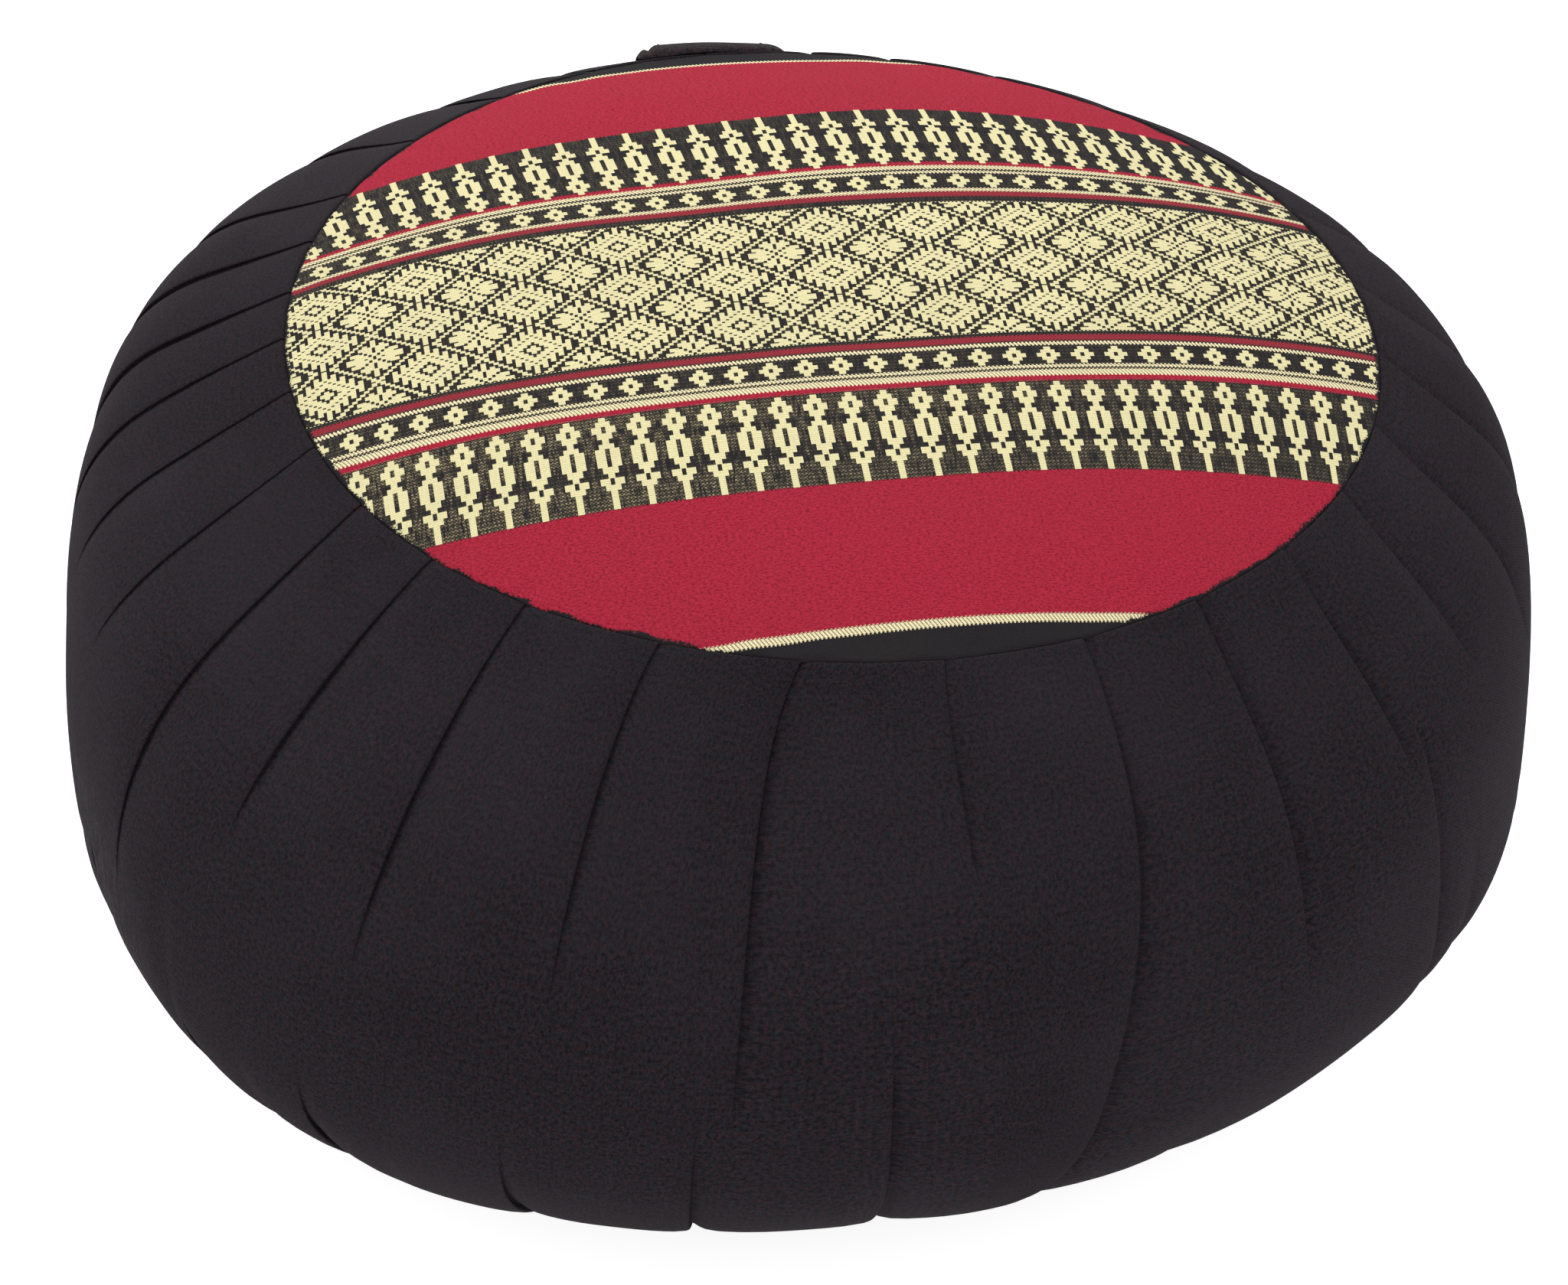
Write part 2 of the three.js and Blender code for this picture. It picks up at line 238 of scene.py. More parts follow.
def around(mean, waves, angles):
    """The size of an uneven ring in each direction: its mean and its waves."""
    size = np.full_like(angles, mean)
    for count, cosine, sine in waves:
        size = size + cosine * np.cos(count * angles) + sine * np.sin(count * angles)
    return size


def smooth(values, low, high):
    """0 below low, 1 above high and a smooth rise between them."""
    share = np.clip((values - low) / (high - low), 0, 1)
    return share * share * (3 - 2 * share)


def bezier(points, share):
    """A cubic curve's points and directions, for arrays of control values."""
    start, first, second, end = points
    rest = 1 - share
    place = rest**3 * start + 3 * rest**2 * share * first + 3 * rest * share**2 * second + share**3 * end
    slope = rest**2 * (first - start) + 2 * rest * share * (second - first) + share**2 * (end - second)
    return place, 3 * slope


def seam_radius(form, angles):
    """The distance from the axis to the top seam."""
    return around(form.seam_radius, SEAM_WAVES, angles)


def wall_surface(form, angles, levels, outward):
    """Points of the wall at these angles and levels, moved along the wall's outward direction."""
    seam = seam_radius(form, angles)
    widest = around(form.widest_radius, WIDEST_WAVES, angles)
    contact = around(form.contact_radius, CONTACT_WAVES, angles)
    shoulder = around(SHOULDER_LENGTH, SHOULDER_WAVES, angles)
    fullness = around(UPPER_FULLNESS, FULLNESS_WAVES, angles)
    flat = np.zeros_like(angles)
    top = flat + form.seam_height
    middle = flat + form.widest_height
    upper_radius = (seam, seam + shoulder * math.cos(SHOULDER_ANGLE), widest, widest)
    upper_height = (top, top - shoulder * math.sin(SHOULDER_ANGLE), middle + fullness, middle)
    lower_radius = (widest, widest, contact + UNDERCUT, contact)
    lower_height = (middle, middle - LOWER_FULLNESS, flat, flat)
    upper = levels < 1
    share = np.where(upper, levels, levels - 1)
    above = [bezier(points, share) for points in (upper_radius, upper_height)]
    below = [bezier(points, share) for points in (lower_radius, lower_height)]
    radius, along_radius = (np.where(upper, a, b) for a, b in zip(above[0], below[0]))
    height, along_height = (np.where(upper, a, b) for a, b in zip(above[1], below[1]))
    length = np.hypot(along_radius, along_height)
    radius = radius - along_height / length * outward
    height = height + along_radius / length * outward
    return np.stack([radius * np.cos(angles), radius * np.sin(angles), height], -1)


def section_at(past):
    """A fold's sideways share and depth share at these degrees past its edge."""
    degrees, sideways, depth = np.array(FOLD_SECTION, float).T
    return np.interp(past, degrees, sideways), np.interp(past, degrees, depth)


def turned_back(fold, levels):
    """The degrees that a fold has turned back at these levels."""
    power = LONG_FOLD_POWER if fold["reach"] > LONG_FOLD_REACH else 1
    return fold["swing"] * (1 - np.exp(-levels / SWING_LEVELS)) + fold["lean"] * levels**power


def between_folds(starts):
    """Which fold each column comes after, and its share of the way to the next one."""
    edges = np.array([fold["at"] for fold in FOLDS] + [FOLDS[0]["at"] + 360], float)
    place = (starts - edges[0]) % 360 + edges[0]
    index = np.clip(np.searchsorted(edges, place, "right") - 1, 0, len(FOLDS) - 1)
    return index, (place - edges[index]) / (edges[index + 1] - edges[index])


def column_degrees(starts, levels):
    """Where the wall's columns stand at these levels, carried evenly between the folds beside them."""
    index, share = between_folds(starts)
    turns = np.stack([turned_back(fold, levels) for fold in (*FOLDS, FOLDS[0])], -1)
    back = turns[:, index] * (1 - share) + turns[:, index + 1] * share
    return starts - back


def top_fade(fold, levels):
    """How much of a fold's depth is left under the top seam."""
    opening = SEAM_SHARE + (1 - SEAM_SHARE) * smooth(levels, 0, OPENING_LEVELS)
    return opening * (1 - smooth(levels, fold["reach"] * FADE_FROM, fold["reach"]))


def base_fade(fold, levels):
    """How much of a fold's depth is left over the base seam."""
    opening = SEAM_SHARE + (1 - SEAM_SHARE) * smooth(BASE_SEAM_AT - levels, 0, OPENING_LEVELS)
    return opening * smooth(levels, fold["rise"], fold["rise"] + RISE_LEVELS)


def wall_columns(spacing):
    """Where the columns start: close together across each fold's edge, and evenly between folds."""
    close = [row[0] for row in FOLD_SECTION if -1 < row[0] < 2]
    edges = [fold["at"] for fold in FOLDS] + [fold["at"] - fold["behind"] for fold in FOLDS]
    starts = np.sort(np.array([edge + past for edge in edges for past in close]) % 360)
    columns = []
    for start, after in zip(starts, [*starts[1:], starts[0] + 360]):
        steps = max(1, round((after - start) / spacing))
        columns.extend(start + (after - start) * np.arange(steps) / steps)
    return np.array(columns)


def pleats(pleat, starts, levels):
    """The sideways move and the depth of the cloth, from every fold."""
    sideways = np.zeros((len(levels), len(starts)))
    depth = np.zeros((len(levels), len(starts)))
    for fold in FOLDS:
        past = (starts - fold["at"] + 180) % 360 - 180
        for fade, fold_depth, behind in (
            (top_fade(fold, levels), fold["depth"], 0),
            (base_fade(fold, levels), fold["base_depth"], fold["behind"]),
        ):
            aside, inward = section_at(past + behind)
            depth += np.outer(fade, inward) * fold_depth * MM * pleat.depth_share
            sideways += np.outer(np.minimum(1, OVERLAP_GROWTH * fade), aside) * pleat.overlap
    return sideways, depth


def filling_lumps(angles, levels):
    """How far the hand-stuffed filling stands out, in metres."""
    outward = np.zeros_like(angles)
    for height, count, lean, start, down, first in LUMP_WAVES:
        round_wave = np.sin(count * angles + lean * levels + start)
        outward += height * round_wave * np.sin(down * levels + first)
    return outward


def puffed(starts, levels):
    """How far the cloth between two folds swells out, most over the shoulder."""
    _, share = between_folds(starts)
    down = np.exp(-levels / PUFF_FADE) * smooth(levels, 0, PUFF_RISE)
    return np.outer(down, np.sin(np.pi * share) ** PUFF_ROUNDNESS)


def soft_troughs(degrees, levels):
    """How far the soft troughs draw the cloth in, in metres."""
    inward = np.zeros_like(degrees)
    for trough in TROUGHS:
        share = (levels - trough["level"]) / trough["length"]
        aside = (degrees - trough["at"] - trough["lean"] * share + 180) % 360 - 180
        along = smooth(share, 0, TROUGH_FADE) * (1 - smooth(share, 1 - TROUGH_FADE, 1))
        inward += trough["depth"] * MM * along * np.exp(-((aside / trough["width"]) ** 2))
    return inward


def grid_mesh(name, rows, closed_top, closed_base, uv=None):
    """A closed mesh from rings of points that run anticlockwise from the top down."""
    ring_count, sides = rows.shape[:2]
    points = [*rows.reshape(-1, 3), closed_top, closed_base]
    top, base = len(points) - 2, len(points) - 1
    ring = np.arange(sides)
    after = (ring + 1) % sides
    faces = []
    for upper in range(ring_count - 1):
        first, second = upper * sides, (upper + 1) * sides
        quads = np.stack([first + ring, second + ring, second + after, first + after], 1)
        faces.extend(quads.tolist())
    last = (ring_count - 1) * sides
    faces.extend([top, int(a), int(b)] for a, b in zip(ring, after))
    faces.extend([int(last + a), base, int(last + b)] for a, b in zip(ring, after))
    mesh = bpy.data.meshes.new(name)
    mesh.from_pydata([tuple(point) for point in points], [], faces)
    mesh.shade_smooth()
    if uv is not None:
        layer = mesh.uv_layers.new(name="cloth")
        values = np.zeros((len(mesh.loops), 2), np.float32)
        quads = (ring_count - 1) * sides
        around_uv, down_uv = uv
        upper = np.repeat(np.arange(ring_count - 1), sides)
        side = np.tile(ring, ring_count - 1)
        corners = ((0, 0), (1, 0), (1, 1), (0, 1))
        for corner, (down, step) in enumerate(corners):
            values[corner : quads * 4 : 4, 0] = around_uv[side + step]
            values[corner : quads * 4 : 4, 1] = down_uv[upper + down]
        layer.data.foreach_set("uv", values.ravel())
    return mesh


def new_object(name, mesh, *materials):
    """An object at the origin that holds a mesh and its materials."""
    piece = bpy.data.objects.new(name, mesh)
    bpy.context.scene.collection.objects.link(piece)
    for material in materials:
        mesh.materials.append(material)
    return piece


def wall_mesh(form, pleat):
    """The pleated wall with its filling, a closed form with a shallow bed for each panel."""
    starts = wall_columns(pleat.column_spacing)
    upper = np.linspace(0, 1, pleat.rows * 3 // 5, endpoint=False)
    lower = np.linspace(1, BASE_SEAM_AT, pleat.rows * 2 // 5)
    levels = np.concatenate([FIRST_LEVELS, upper[1:], lower])
    grid_levels = np.repeat(levels[:, None], len(starts), 1)
    degrees = column_degrees(starts, levels)
    aside, inward = pleats(pleat, starts, levels)
    angles = np.radians(degrees)
    rough = wall_surface(form, angles, grid_levels, 0)
    angles = angles + aside / np.hypot(rough[..., 0], rough[..., 1])
    roll = SEAM_ROLL * (1 - np.exp(-levels / SEAM_ROLL_RISE)) * np.exp(-levels / SEAM_ROLL_FADE)
    ease = smooth(levels, 0, LUMPS_EASE) * smooth(BASE_SEAM_AT - levels, 0, LUMPS_EASE)
    outward = roll[:, None] - inward + pleat.puff * puffed(starts, levels)
    outward = outward + filling_lumps(angles, grid_levels) * ease[:, None]
    outward = outward - soft_troughs(degrees, grid_levels)
    wall = wall_surface(form, angles, grid_levels, outward)
    seam_angles, base_angles = angles[0], angles[-1]
    crown = [crown_ring(form, seam_angles, share, 0, BED_UNDER_TOP) for share in (0.3, 0.6, 0.85)]
    edge = [seam_ring(form, seam_angles, out * MM, lift * MM) for out, lift in WALL_EDGE]
    bed = wall_surface(form, base_angles, np.full_like(base_angles, BASE_SEAM_AT), 0)
    under = [bed * (share, share, 1) + (0, 0, BED_OVER_BASE) for share in (0.985, 0.6)]
    rows = np.stack([*crown, *edge, *wall, *under])
    step = np.linalg.norm(np.diff(rows, axis=0), axis=2).mean(1)
    down_uv = np.concatenate([[0], np.cumsum(step)])
    around_uv = np.radians(np.append(starts, starts[0] + 360)) * form.widest_radius
    top = (*PANEL_MIDDLE, form.seam_height + form.crown - BED_UNDER_TOP)
    return grid_mesh("pleated_wall", rows, top, (0, 0, BED_MIDDLE), (around_uv, down_uv))


def seam_ring(form, angles, outward, lift):
    """A ring beside the top seam, moved outwards and up."""
    radius = seam_radius(form, angles) + outward
    height = np.full_like(angles, form.seam_height + lift)
    return np.stack([radius * np.cos(angles), radius * np.sin(angles), height], -1)


def crown_height(form, share):
    """The height of the crowned top at a share of the seam's radius."""
    return form.seam_height + form.crown * (1 - share**CROWN_POWER)


def crown_ring(form, angles, share, inset, drop):
    """A ring of the crowned top: a share of the way from the panel's middle to the seam."""
    seam = seam_radius(form, angles) - inset
    x = PANEL_MIDDLE[0] + share * (seam * np.cos(angles) - PANEL_MIDDLE[0])
    y = PANEL_MIDDLE[1] + share * (seam * np.sin(angles) - PANEL_MIDDLE[1])
    height = np.full_like(angles, crown_height(form, share) - drop)
    return np.stack([x, y, height], -1)


# How the stripes bow at each height over the panel's middle line: the rise at the left and at the
# right 100 mm from where they lie straight, and a soft swell on each side. Each swell has its middle
# and its width along the stripes. All in millimetres.
BOW_ROWS = (
    (-118, -1.5, 3.5, 0, 0),
    (-70, -2.4, -0.5, 0, 0),
    (-40, -1.6, -0.7, 0.2, 0.7),
    (-24, -1.8, -0.5, 0, 0.8),
    (4, -1.7, 0.6, 0.2, 1.2),
    (39, -0.2, 5.2, 0.7, 0.5),
    (57, 1.4, 9.8, 1.4, 0),
    (90, 4.0, 19.2, 2.1, 0),
    (128, 1.5, 27.0, -2.0, 0),
)
STRAIGHT_AT = 40
LEFT_SWELL = (-15, 42)
RIGHT_SWELL = (85, 25)

# The warp threads lean with the height, and more past one height. The right of the panel is drawn in,
# more so far from the middle line, and the far stripes are spread. Places are in millimetres.
WARP_LEAN = 0.038
FAR_LEAN = 0.08
FAR_LEAN_FROM = 42
DRAWN_IN = 1.9
DRAWN_IN_AWAY = 0.0008
SPREAD = 0.022
SPREAD_FROM = 15
SPREAD_UP_TO = 50
SPREAD_HEIGHTS = (30, 75)


def weave_place(weave, x, y):
    """Where a point of the panel lies in the cloth: along the stripes and across them, in metres.

    The cloth is turned a little, its stripes bow over the filling, and its threads lean.
    """
    turn = weave.turn
    along = math.cos(turn) * x + math.sin(turn) * y
    across = -math.sin(turn) * x + math.cos(turn) * y
    place, height = along / MM, across / MM
    heights, *columns = np.array(BOW_ROWS, float).T
    left, right, left_swell, right_swell = (np.interp(height, heights, column) for column in columns)
    aside = (place - STRAIGHT_AT) / 100
    bow = np.where(aside < 0, left, right) * aside**2
    for swell, (middle, width) in ((left_swell, LEFT_SWELL), (right_swell, RIGHT_SWELL)):
        bow += swell * np.exp(-(((place - middle) / width) ** 2))
    lean = WARP_LEAN * height + FAR_LEAN * np.maximum(0, height - FAR_LEAN_FROM)
    drawn = (DRAWN_IN + DRAWN_IN_AWAY * height**2) * np.maximum(0, aside) ** 2
    spread = SPREAD * (np.minimum(place, SPREAD_UP_TO) - SPREAD_FROM) * smooth(height, *SPREAD_HEIGHTS)
    return along + (lean + drawn - spread) * MM, across + bow * MM


def panel_mesh(form, weave):
    """The woven panel: a crowned disc of cloth, its edge turned down into the seam."""
    angles = np.linspace(0, 2 * np.pi, PANEL_SIDES, endpoint=False)
    gathers = PUCKER * np.sin(PUCKERS_ROUND * angles + 5 * np.sin(3 * angles))
    upper = []
    for share in (*np.linspace(0.03, 0.9, 40), *np.linspace(0.91, 0.992, 12)):
        ring = crown_ring(form, angles, share, SEAM_GAP, 0)
        ring[:, 2] += PANEL_SWELL * np.sin(4 * angles + 6 * share) * share * (1 - share) * 2
        ring[:, 2] += gathers * smooth(share, PUCKERS_BEGIN, PUCKERS_FULL)
        upper.append(ring)
    edge = [seam_ring(form, angles, out * MM, lift * MM) for out, lift in PANEL_EDGE]
    shares = (0.95, 0.8, 0.5, 0.2)
    lower = [crown_ring(form, angles, share, SEAM_GAP, PANEL_THICKNESS) for share in shares]
    top = crown_height(form, 0)
    middles = (*PANEL_MIDDLE, top), (*PANEL_MIDDLE, top - PANEL_THICKNESS)
    mesh = grid_mesh("woven_panel", np.stack([*upper, *edge, *lower]), *middles)
    points = np.zeros(len(mesh.vertices) * 3)
    mesh.vertices.foreach_get("co", points)
    x, y, _ = points.reshape(-1, 3).T
    corner = np.zeros(len(mesh.loops), int)
    mesh.loops.foreach_get("vertex_index", corner)
    cloth = np.stack(weave_place(weave, x, y), 1)[corner]
    mesh.uv_layers.new(name="cloth").data.foreach_set("uv", cloth.astype(np.float32).ravel())
    inside = seam_radius(form, np.arctan2(y, x)) - np.hypot(x, y)
    rim = mesh.attributes.new("rim", "FLOAT", "POINT")
    rim.data.foreach_set("value", (inside / MM).astype(np.float32))
    return mesh


def base_mesh(form):
    """The plain panel under the cushion, flat where it lies on the floor."""
    angles = np.linspace(0, 2 * np.pi, BASE_SIDES, endpoint=False)

    def ring(level, outward, lift):
        place = wall_surface(form, angles, np.full_like(angles, level), 0)
        away = 1 + outward / np.hypot(place[:, 0], place[:, 1])
        place[:, :2] *= away[:, None]
        place[:, 2] += lift
        return place

    thick = PANEL_THICKNESS
    inner = [ring(2, 0, thick) * (share, share, 1) for share in (0.3, 0.7, 1)]
    outer = [ring(level, 0, thick) for level in (1.97, 1.93, 1.89)]
    edge = [ring(BASE_SEAM_AT, -0.6 * MM, thick), ring(BASE_SEAM_AT, -0.4 * MM, thick / 2)]
    under = [ring(BASE_SEAM_AT, -0.6 * MM, 0), *[ring(level, 0, 0) for level in (1.89, 1.93, 1.97, 2)]]
    floor = [ring(2, 0, 0) * (share, share, 1) for share in (0.7, 0.3)]
    rows = np.stack([*inner, *outer, *edge, *under, *floor])
    return grid_mesh("base_panel", rows, (0, 0, thick), (0, 0, 0))


def strap_shares():
    """Shares of the strap's length for its rows, close together where its ends are tucked in."""
    tuck = TUCK_SHARE * np.linspace(0, 1, 9)[:-1] ** 1.5
    return np.concatenate([tuck, np.linspace(TUCK_SHARE, 1 - TUCK_SHARE, 100), 1 - tuck[::-1]])


def strap_line(form, strap, outside, share):
    """The strap seen from the side: it lies over the shoulder, and its slack hangs low."""
    levels = strap.start + (strap.end - strap.start) * share
    slack = strap.slack * np.sin(np.pi * share**strap.sag) ** 2
    seated = SEAT_AT_ENDS + (1 - SEAT_AT_ENDS) * smooth(np.minimum(share, 1 - share), 0, SEAT_RISE)
    angles = np.full_like(share, math.radians(strap.angle))
    return wall_surface(form, angles, levels, strap.seat * seated + slack + outside)


def strap_fullness(share):
    """The strap's thickness along it as a share of its full thickness: its ends are rounded off."""
    from_end = np.clip(np.minimum(share, 1 - share) / TUCK_SHARE, 0, 1)
    return TUCK_THIN + (1 - TUCK_THIN) * np.sqrt(1 - (1 - from_end) ** 2)


def strap_wave(share):
    """How far the strap wanders sideways along its length."""
    return STRAP_WAVE * np.sin(WAVE_ALONG * share + 1)


def strap_ripple(strap, across, share):
    """How far the strap's face rises and falls, stilled at its ends."""
    turn = across / (strap.width / 2) * RIPPLE_ACROSS + RIPPLE_ALONG * share
    return STRAP_RIPPLE * np.sin(turn) * np.sin(np.pi * share)


def strap_bend(across):
    """How far the strap falls away to its sides as it bends round the wall."""
    return across**2 / (2 * STRAP_BEND)


def strap_outline(strap):
    """The strap's section, as places across it and heights over its middle line."""
    half, thick = strap.width / 2, strap.thickness / 2
    across = half * np.sin(np.linspace(np.pi / 2, -np.pi / 2, STRAP_SIDES))
    into_corner = np.maximum(0, np.abs(across) - half + strap.corner) / strap.corner
    bulge = thick * np.sqrt(np.maximum(0, 1 - into_corner**2))
    lean = strap.twist / 2 * across / half
    curl = (CURL + CURL_OF_LEAN * np.maximum(0, lean)) * into_corner**2
    from_crease = (across - half + CREASE_FROM_EDGE) / CREASE_WIDTH
    crease = strap.crease * np.exp(-(from_crease**2))
    outer = np.stack([across, bulge + lean - curl - crease], 1)
    inner = np.stack([across, -bulge + lean - curl], 1)
    return np.concatenate([outer, inner[::-1][1:-1]])


def strap_frame(form, strap, share):
    """The strap's middle line, its outward and sideways directions, and its fullness."""
    fullness = strap_fullness(share)
    raised = strap.thickness / 2 * fullness
    middle = strap_line(form, strap, raised, share)
    outward = strap_line(form, strap, raised + MM, share) - middle
    outward /= np.linalg.norm(outward, axis=1)[:, None]
    angle = math.radians(strap.angle)
    return middle, outward, np.array([-math.sin(angle), math.cos(angle), 0]), fullness


def strap_mesh(form, strap):
    """The carrying strap: a band of cloth folded double, with soft edges and tucked ends."""
    share = strap_shares()
    middle, outward, side, fullness = strap_frame(form, strap, share)
    across, height = strap_outline(strap).T
    place = across + strap_wave(share)[:, None]
    height = height * fullness[:, None] - strap_bend(across)
    height = height + strap_ripple(strap, across, share[:, None])
    rows = middle[:, None] + side * place[..., None] + outward[:, None] * height[..., None]
    return grid_mesh("carry_strap", rows[:, ::-1], middle[0], middle[-1])


def thread_paths(form, strap):
    """Two rows of stitching along the strap, as curves just over its outer face."""
    share = np.linspace(TUCK_SHARE, 1 - TUCK_SHARE, 60)
    middle, outward, side, _ = strap_frame(form, strap, share)
    data = bpy.data.curves.new("strap_thread_paths", "CURVE")
    data.dimensions = "3D"
    outline = strap_outline(strap)[:STRAP_SIDES]
    for edge in (-1, 1):
        across = edge * (strap.width / 2 - strap.stitch_inset)
        lift = float(np.interp(across, outline[::-1, 0], outline[::-1, 1])) + THREAD_LIFT
        height = lift - strap_bend(across) + strap_ripple(strap, across, share)
        points = middle + side * (across + strap_wave(share))[:, None] + outward * height[:, None]
        spline = data.splines.new("POLY")
        spline.points.add(len(points) - 1)
        for control, point in zip(spline.points, points):
            control.co = (*point, 1)
    return bpy.data.objects.new("strap_thread_paths", data)


def add_node(tree, kind, inputs=(), **settings):
    """A node with its settings, and its inputs linked or set by name or by number."""
    node = tree.nodes.new(kind)
    for name, value in settings.items():
        setattr(node, name, value)
    for key, value in dict(inputs).items():
        plug(tree, value, node.inputs[key])
    return node


def new_group(name, kind, inputs, outputs):
    """A node group with named inputs and outputs, and its two end nodes."""
    tree = bpy.data.node_groups.new(name, kind)
    for direction, sockets in (("INPUT", inputs), ("OUTPUT", outputs)):
        for label, form in sockets.items():
            tree.interface.new_socket(label, in_out=direction, socket_type="NodeSocket" + form)
    return tree, tree.nodes.new("NodeGroupInput"), tree.nodes.new("NodeGroupOutput")


def stitch_tree(cotton):
    """Geometry nodes that lay stitches of one length end to end along every path."""
    inputs = {"Paths": "Geometry", "Pitch": "Float", "Length": "Float", "Thread": "Float"}
    tree, entry, leave = new_group("Stitches", "GeometryNodeTree", inputs, {"Stitches": "Geometry"})
    sizes = entry.outputs
    spacing = {"Curve": sizes["Paths"], "Length": sizes["Pitch"]}
    points = add_node(tree, "GeometryNodeCurveToPoints", spacing, mode="LENGTH")
    ball = add_node(tree, "GeometryNodeMeshUVSphere", {"Radius": 0.5, "Segments": 8, "Rings": 5})
    placing = {
        "Points": points.outputs["Points"],
        "Instance": ball.outputs["Mesh"],
        "Rotation": points.outputs["Rotation"],
        "Scale": combined(tree, sizes["Thread"], sizes["Thread"], sizes["Length"]),
    }
    placed = add_node(tree, "GeometryNodeInstanceOnPoints", placing)
    real = add_node(tree, "GeometryNodeRealizeInstances", {"Geometry": placed.outputs["Instances"]})
    cloth = {"Geometry": real.outputs["Geometry"], "Material": cotton}
    finish = add_node(tree, "GeometryNodeSetMaterial", cloth)
    plug(tree, finish.outputs["Geometry"], leave.inputs["Stitches"])
    return tree


def made_by_nodes(name, source, tree, **values):
    """A plain mesh object made from a source by geometry nodes, with its inputs set by name."""
    bpy.context.scene.collection.objects.link(source)
    modifier = source.modifiers.new("nodes", "NODES")
    modifier.node_group = tree
    for item in tree.interface.items_tree:
        if item.in_out == "INPUT" and item.name in values:
            modifier[item.identifier] = values[item.name]
    evaluated = source.evaluated_get(bpy.context.evaluated_depsgraph_get())
    mesh = bpy.data.meshes.new_from_object(evaluated)
    source.modifiers.remove(modifier)
    bpy.data.objects.remove(source)
    mesh.name = name
    mesh.shade_smooth()
    return new_object(name, mesh)


class Wire:
    """A number in a node tree, so that a pattern reads as arithmetic."""

    def __init__(self, tree, socket):
        self.tree = tree
        self.socket = socket

    def math(self, operation, *others):
        """A Math node on this number and others."""
        return calculated(self.tree, operation, self, *others)

    def __add__(self, other):
        return self.math("ADD", other)

    def __sub__(self, other):
        return self.math("SUBTRACT", other)

    def __rsub__(self, number):
        return calculated(self.tree, "SUBTRACT", number, self)

    def __mul__(self, other):
        return self.math("MULTIPLY", other)

    def __truediv__(self, other):
        return self.math("DIVIDE", other)

    def __rpow__(self, number):
        return calculated(self.tree, "POWER", number, self)

    def __mod__(self, other):
        return self.math("FLOORED_MODULO", other)

    def __lt__(self, other):
        return self.math("LESS_THAN", other)

    def __gt__(self, other):
        return self.math("GREATER_THAN", other)

    def __abs__(self):
        return self.math("ABSOLUTE")

    def floor(self):
        """The whole number below."""
        return self.math("FLOOR")

    def rounded(self):
        """The nearest whole number."""
        return self.math("ROUND")

    def positive(self):
        """The number, or 0 where it is less."""
        return self.math("MAXIMUM", 0.0)

    def mirrored(self, half):
        """The distance to the nearest multiple of twice the half."""
        return self.math("PINGPONG", half)


def calculated(tree, operation, *values):
    """A Math node on wires and plain numbers."""
    node = add_node(tree, "ShaderNodeMath", enumerate(values), operation=operation)
    return Wire(tree, node.outputs[0])


def plug(tree, value, slot):
    """Links a wire or a socket to an input, or sets the input to a plain value."""
    if isinstance(value, Wire):
        tree.links.new(value.socket, slot)
    elif isinstance(value, bpy.types.NodeSocket):
        tree.links.new(value, slot)
    else:
        slot.default_value = value


def colour(*shown):
    """A linear colour from the values that a screen shows, each from 11 to 255."""
    return (*[((value / 255 + 0.055) / 1.055) ** 2.4 for value in shown], 1)


def tinted(base, *shares):
    """A colour with its red, green and blue scaled."""
    return (*[value * share for value, share in zip(base, shares)], 1)


def mixed(tree, share, first, second):
    """A colour between two, by a share."""
    inputs = {"Factor": share, 6: first, 7: second}
    return add_node(tree, "ShaderNodeMix", inputs, data_type="RGBA").outputs[2]


def combined(tree, x, y, z=0.0):
    """A vector from three numbers."""
    return add_node(tree, "ShaderNodeCombineXYZ", enumerate((x, y, z))).outputs[0]


def separated(tree, vector):
    """The first two numbers of a vector."""
    node = add_node(tree, "ShaderNodeSeparateXYZ", {0: vector})
    return Wire(tree, node.outputs[0]), Wire(tree, node.outputs[1])


def random_of(tree, vector):
    """A random number from 0 to 1 for each vector."""
    node = add_node(tree, "ShaderNodeTexWhiteNoise", {"Vector": vector}, noise_dimensions="3D")
    return Wire(tree, node.outputs["Value"])


def noise_of(tree, vector, scale, detail, roughness):
    """Soft noise from 0 to 1."""
    inputs = {"Vector": vector, "Scale": scale, "Detail": detail, "Roughness": roughness}
    return Wire(tree, add_node(tree, "ShaderNodeTexNoise", inputs).outputs["Fac"])


# How many crossings a thread runs before its tint changes
TINT_LENGTH = 60

# The lint: cells of one hair to a millimetre, how a hair bends, and half its width and half its
# greatest length in millimetres
LINT_CELLS = 0.09
HAIR_BEND = 0.22
HAIR_HALF_WIDTH = 0.1
HAIR_HALF_LENGTH = 1.6

# What lies on the black cotton: its colours, and the place low on the left that is dusty, in
# millimetres along and down the wall's cloth
LINT = (128, 122, 118)
DUST = (92, 90, 94)
DUSTY_PLACE = (715, 255, 0)
DUST_REACH = 60.0

# The noise of the black cotton, as cells to a millimetre, detail and roughness: warm and cool
# threads, dark flecks, broad clouds, and the cloth's own unevenness
GRAIN = (0.55, 4, 0.75)
FLECK = (0.9, 3, 0.8)
CLOUD = (0.012, 3, 0.6)
UNEVENNESS = (0.25, 2, 0.6)


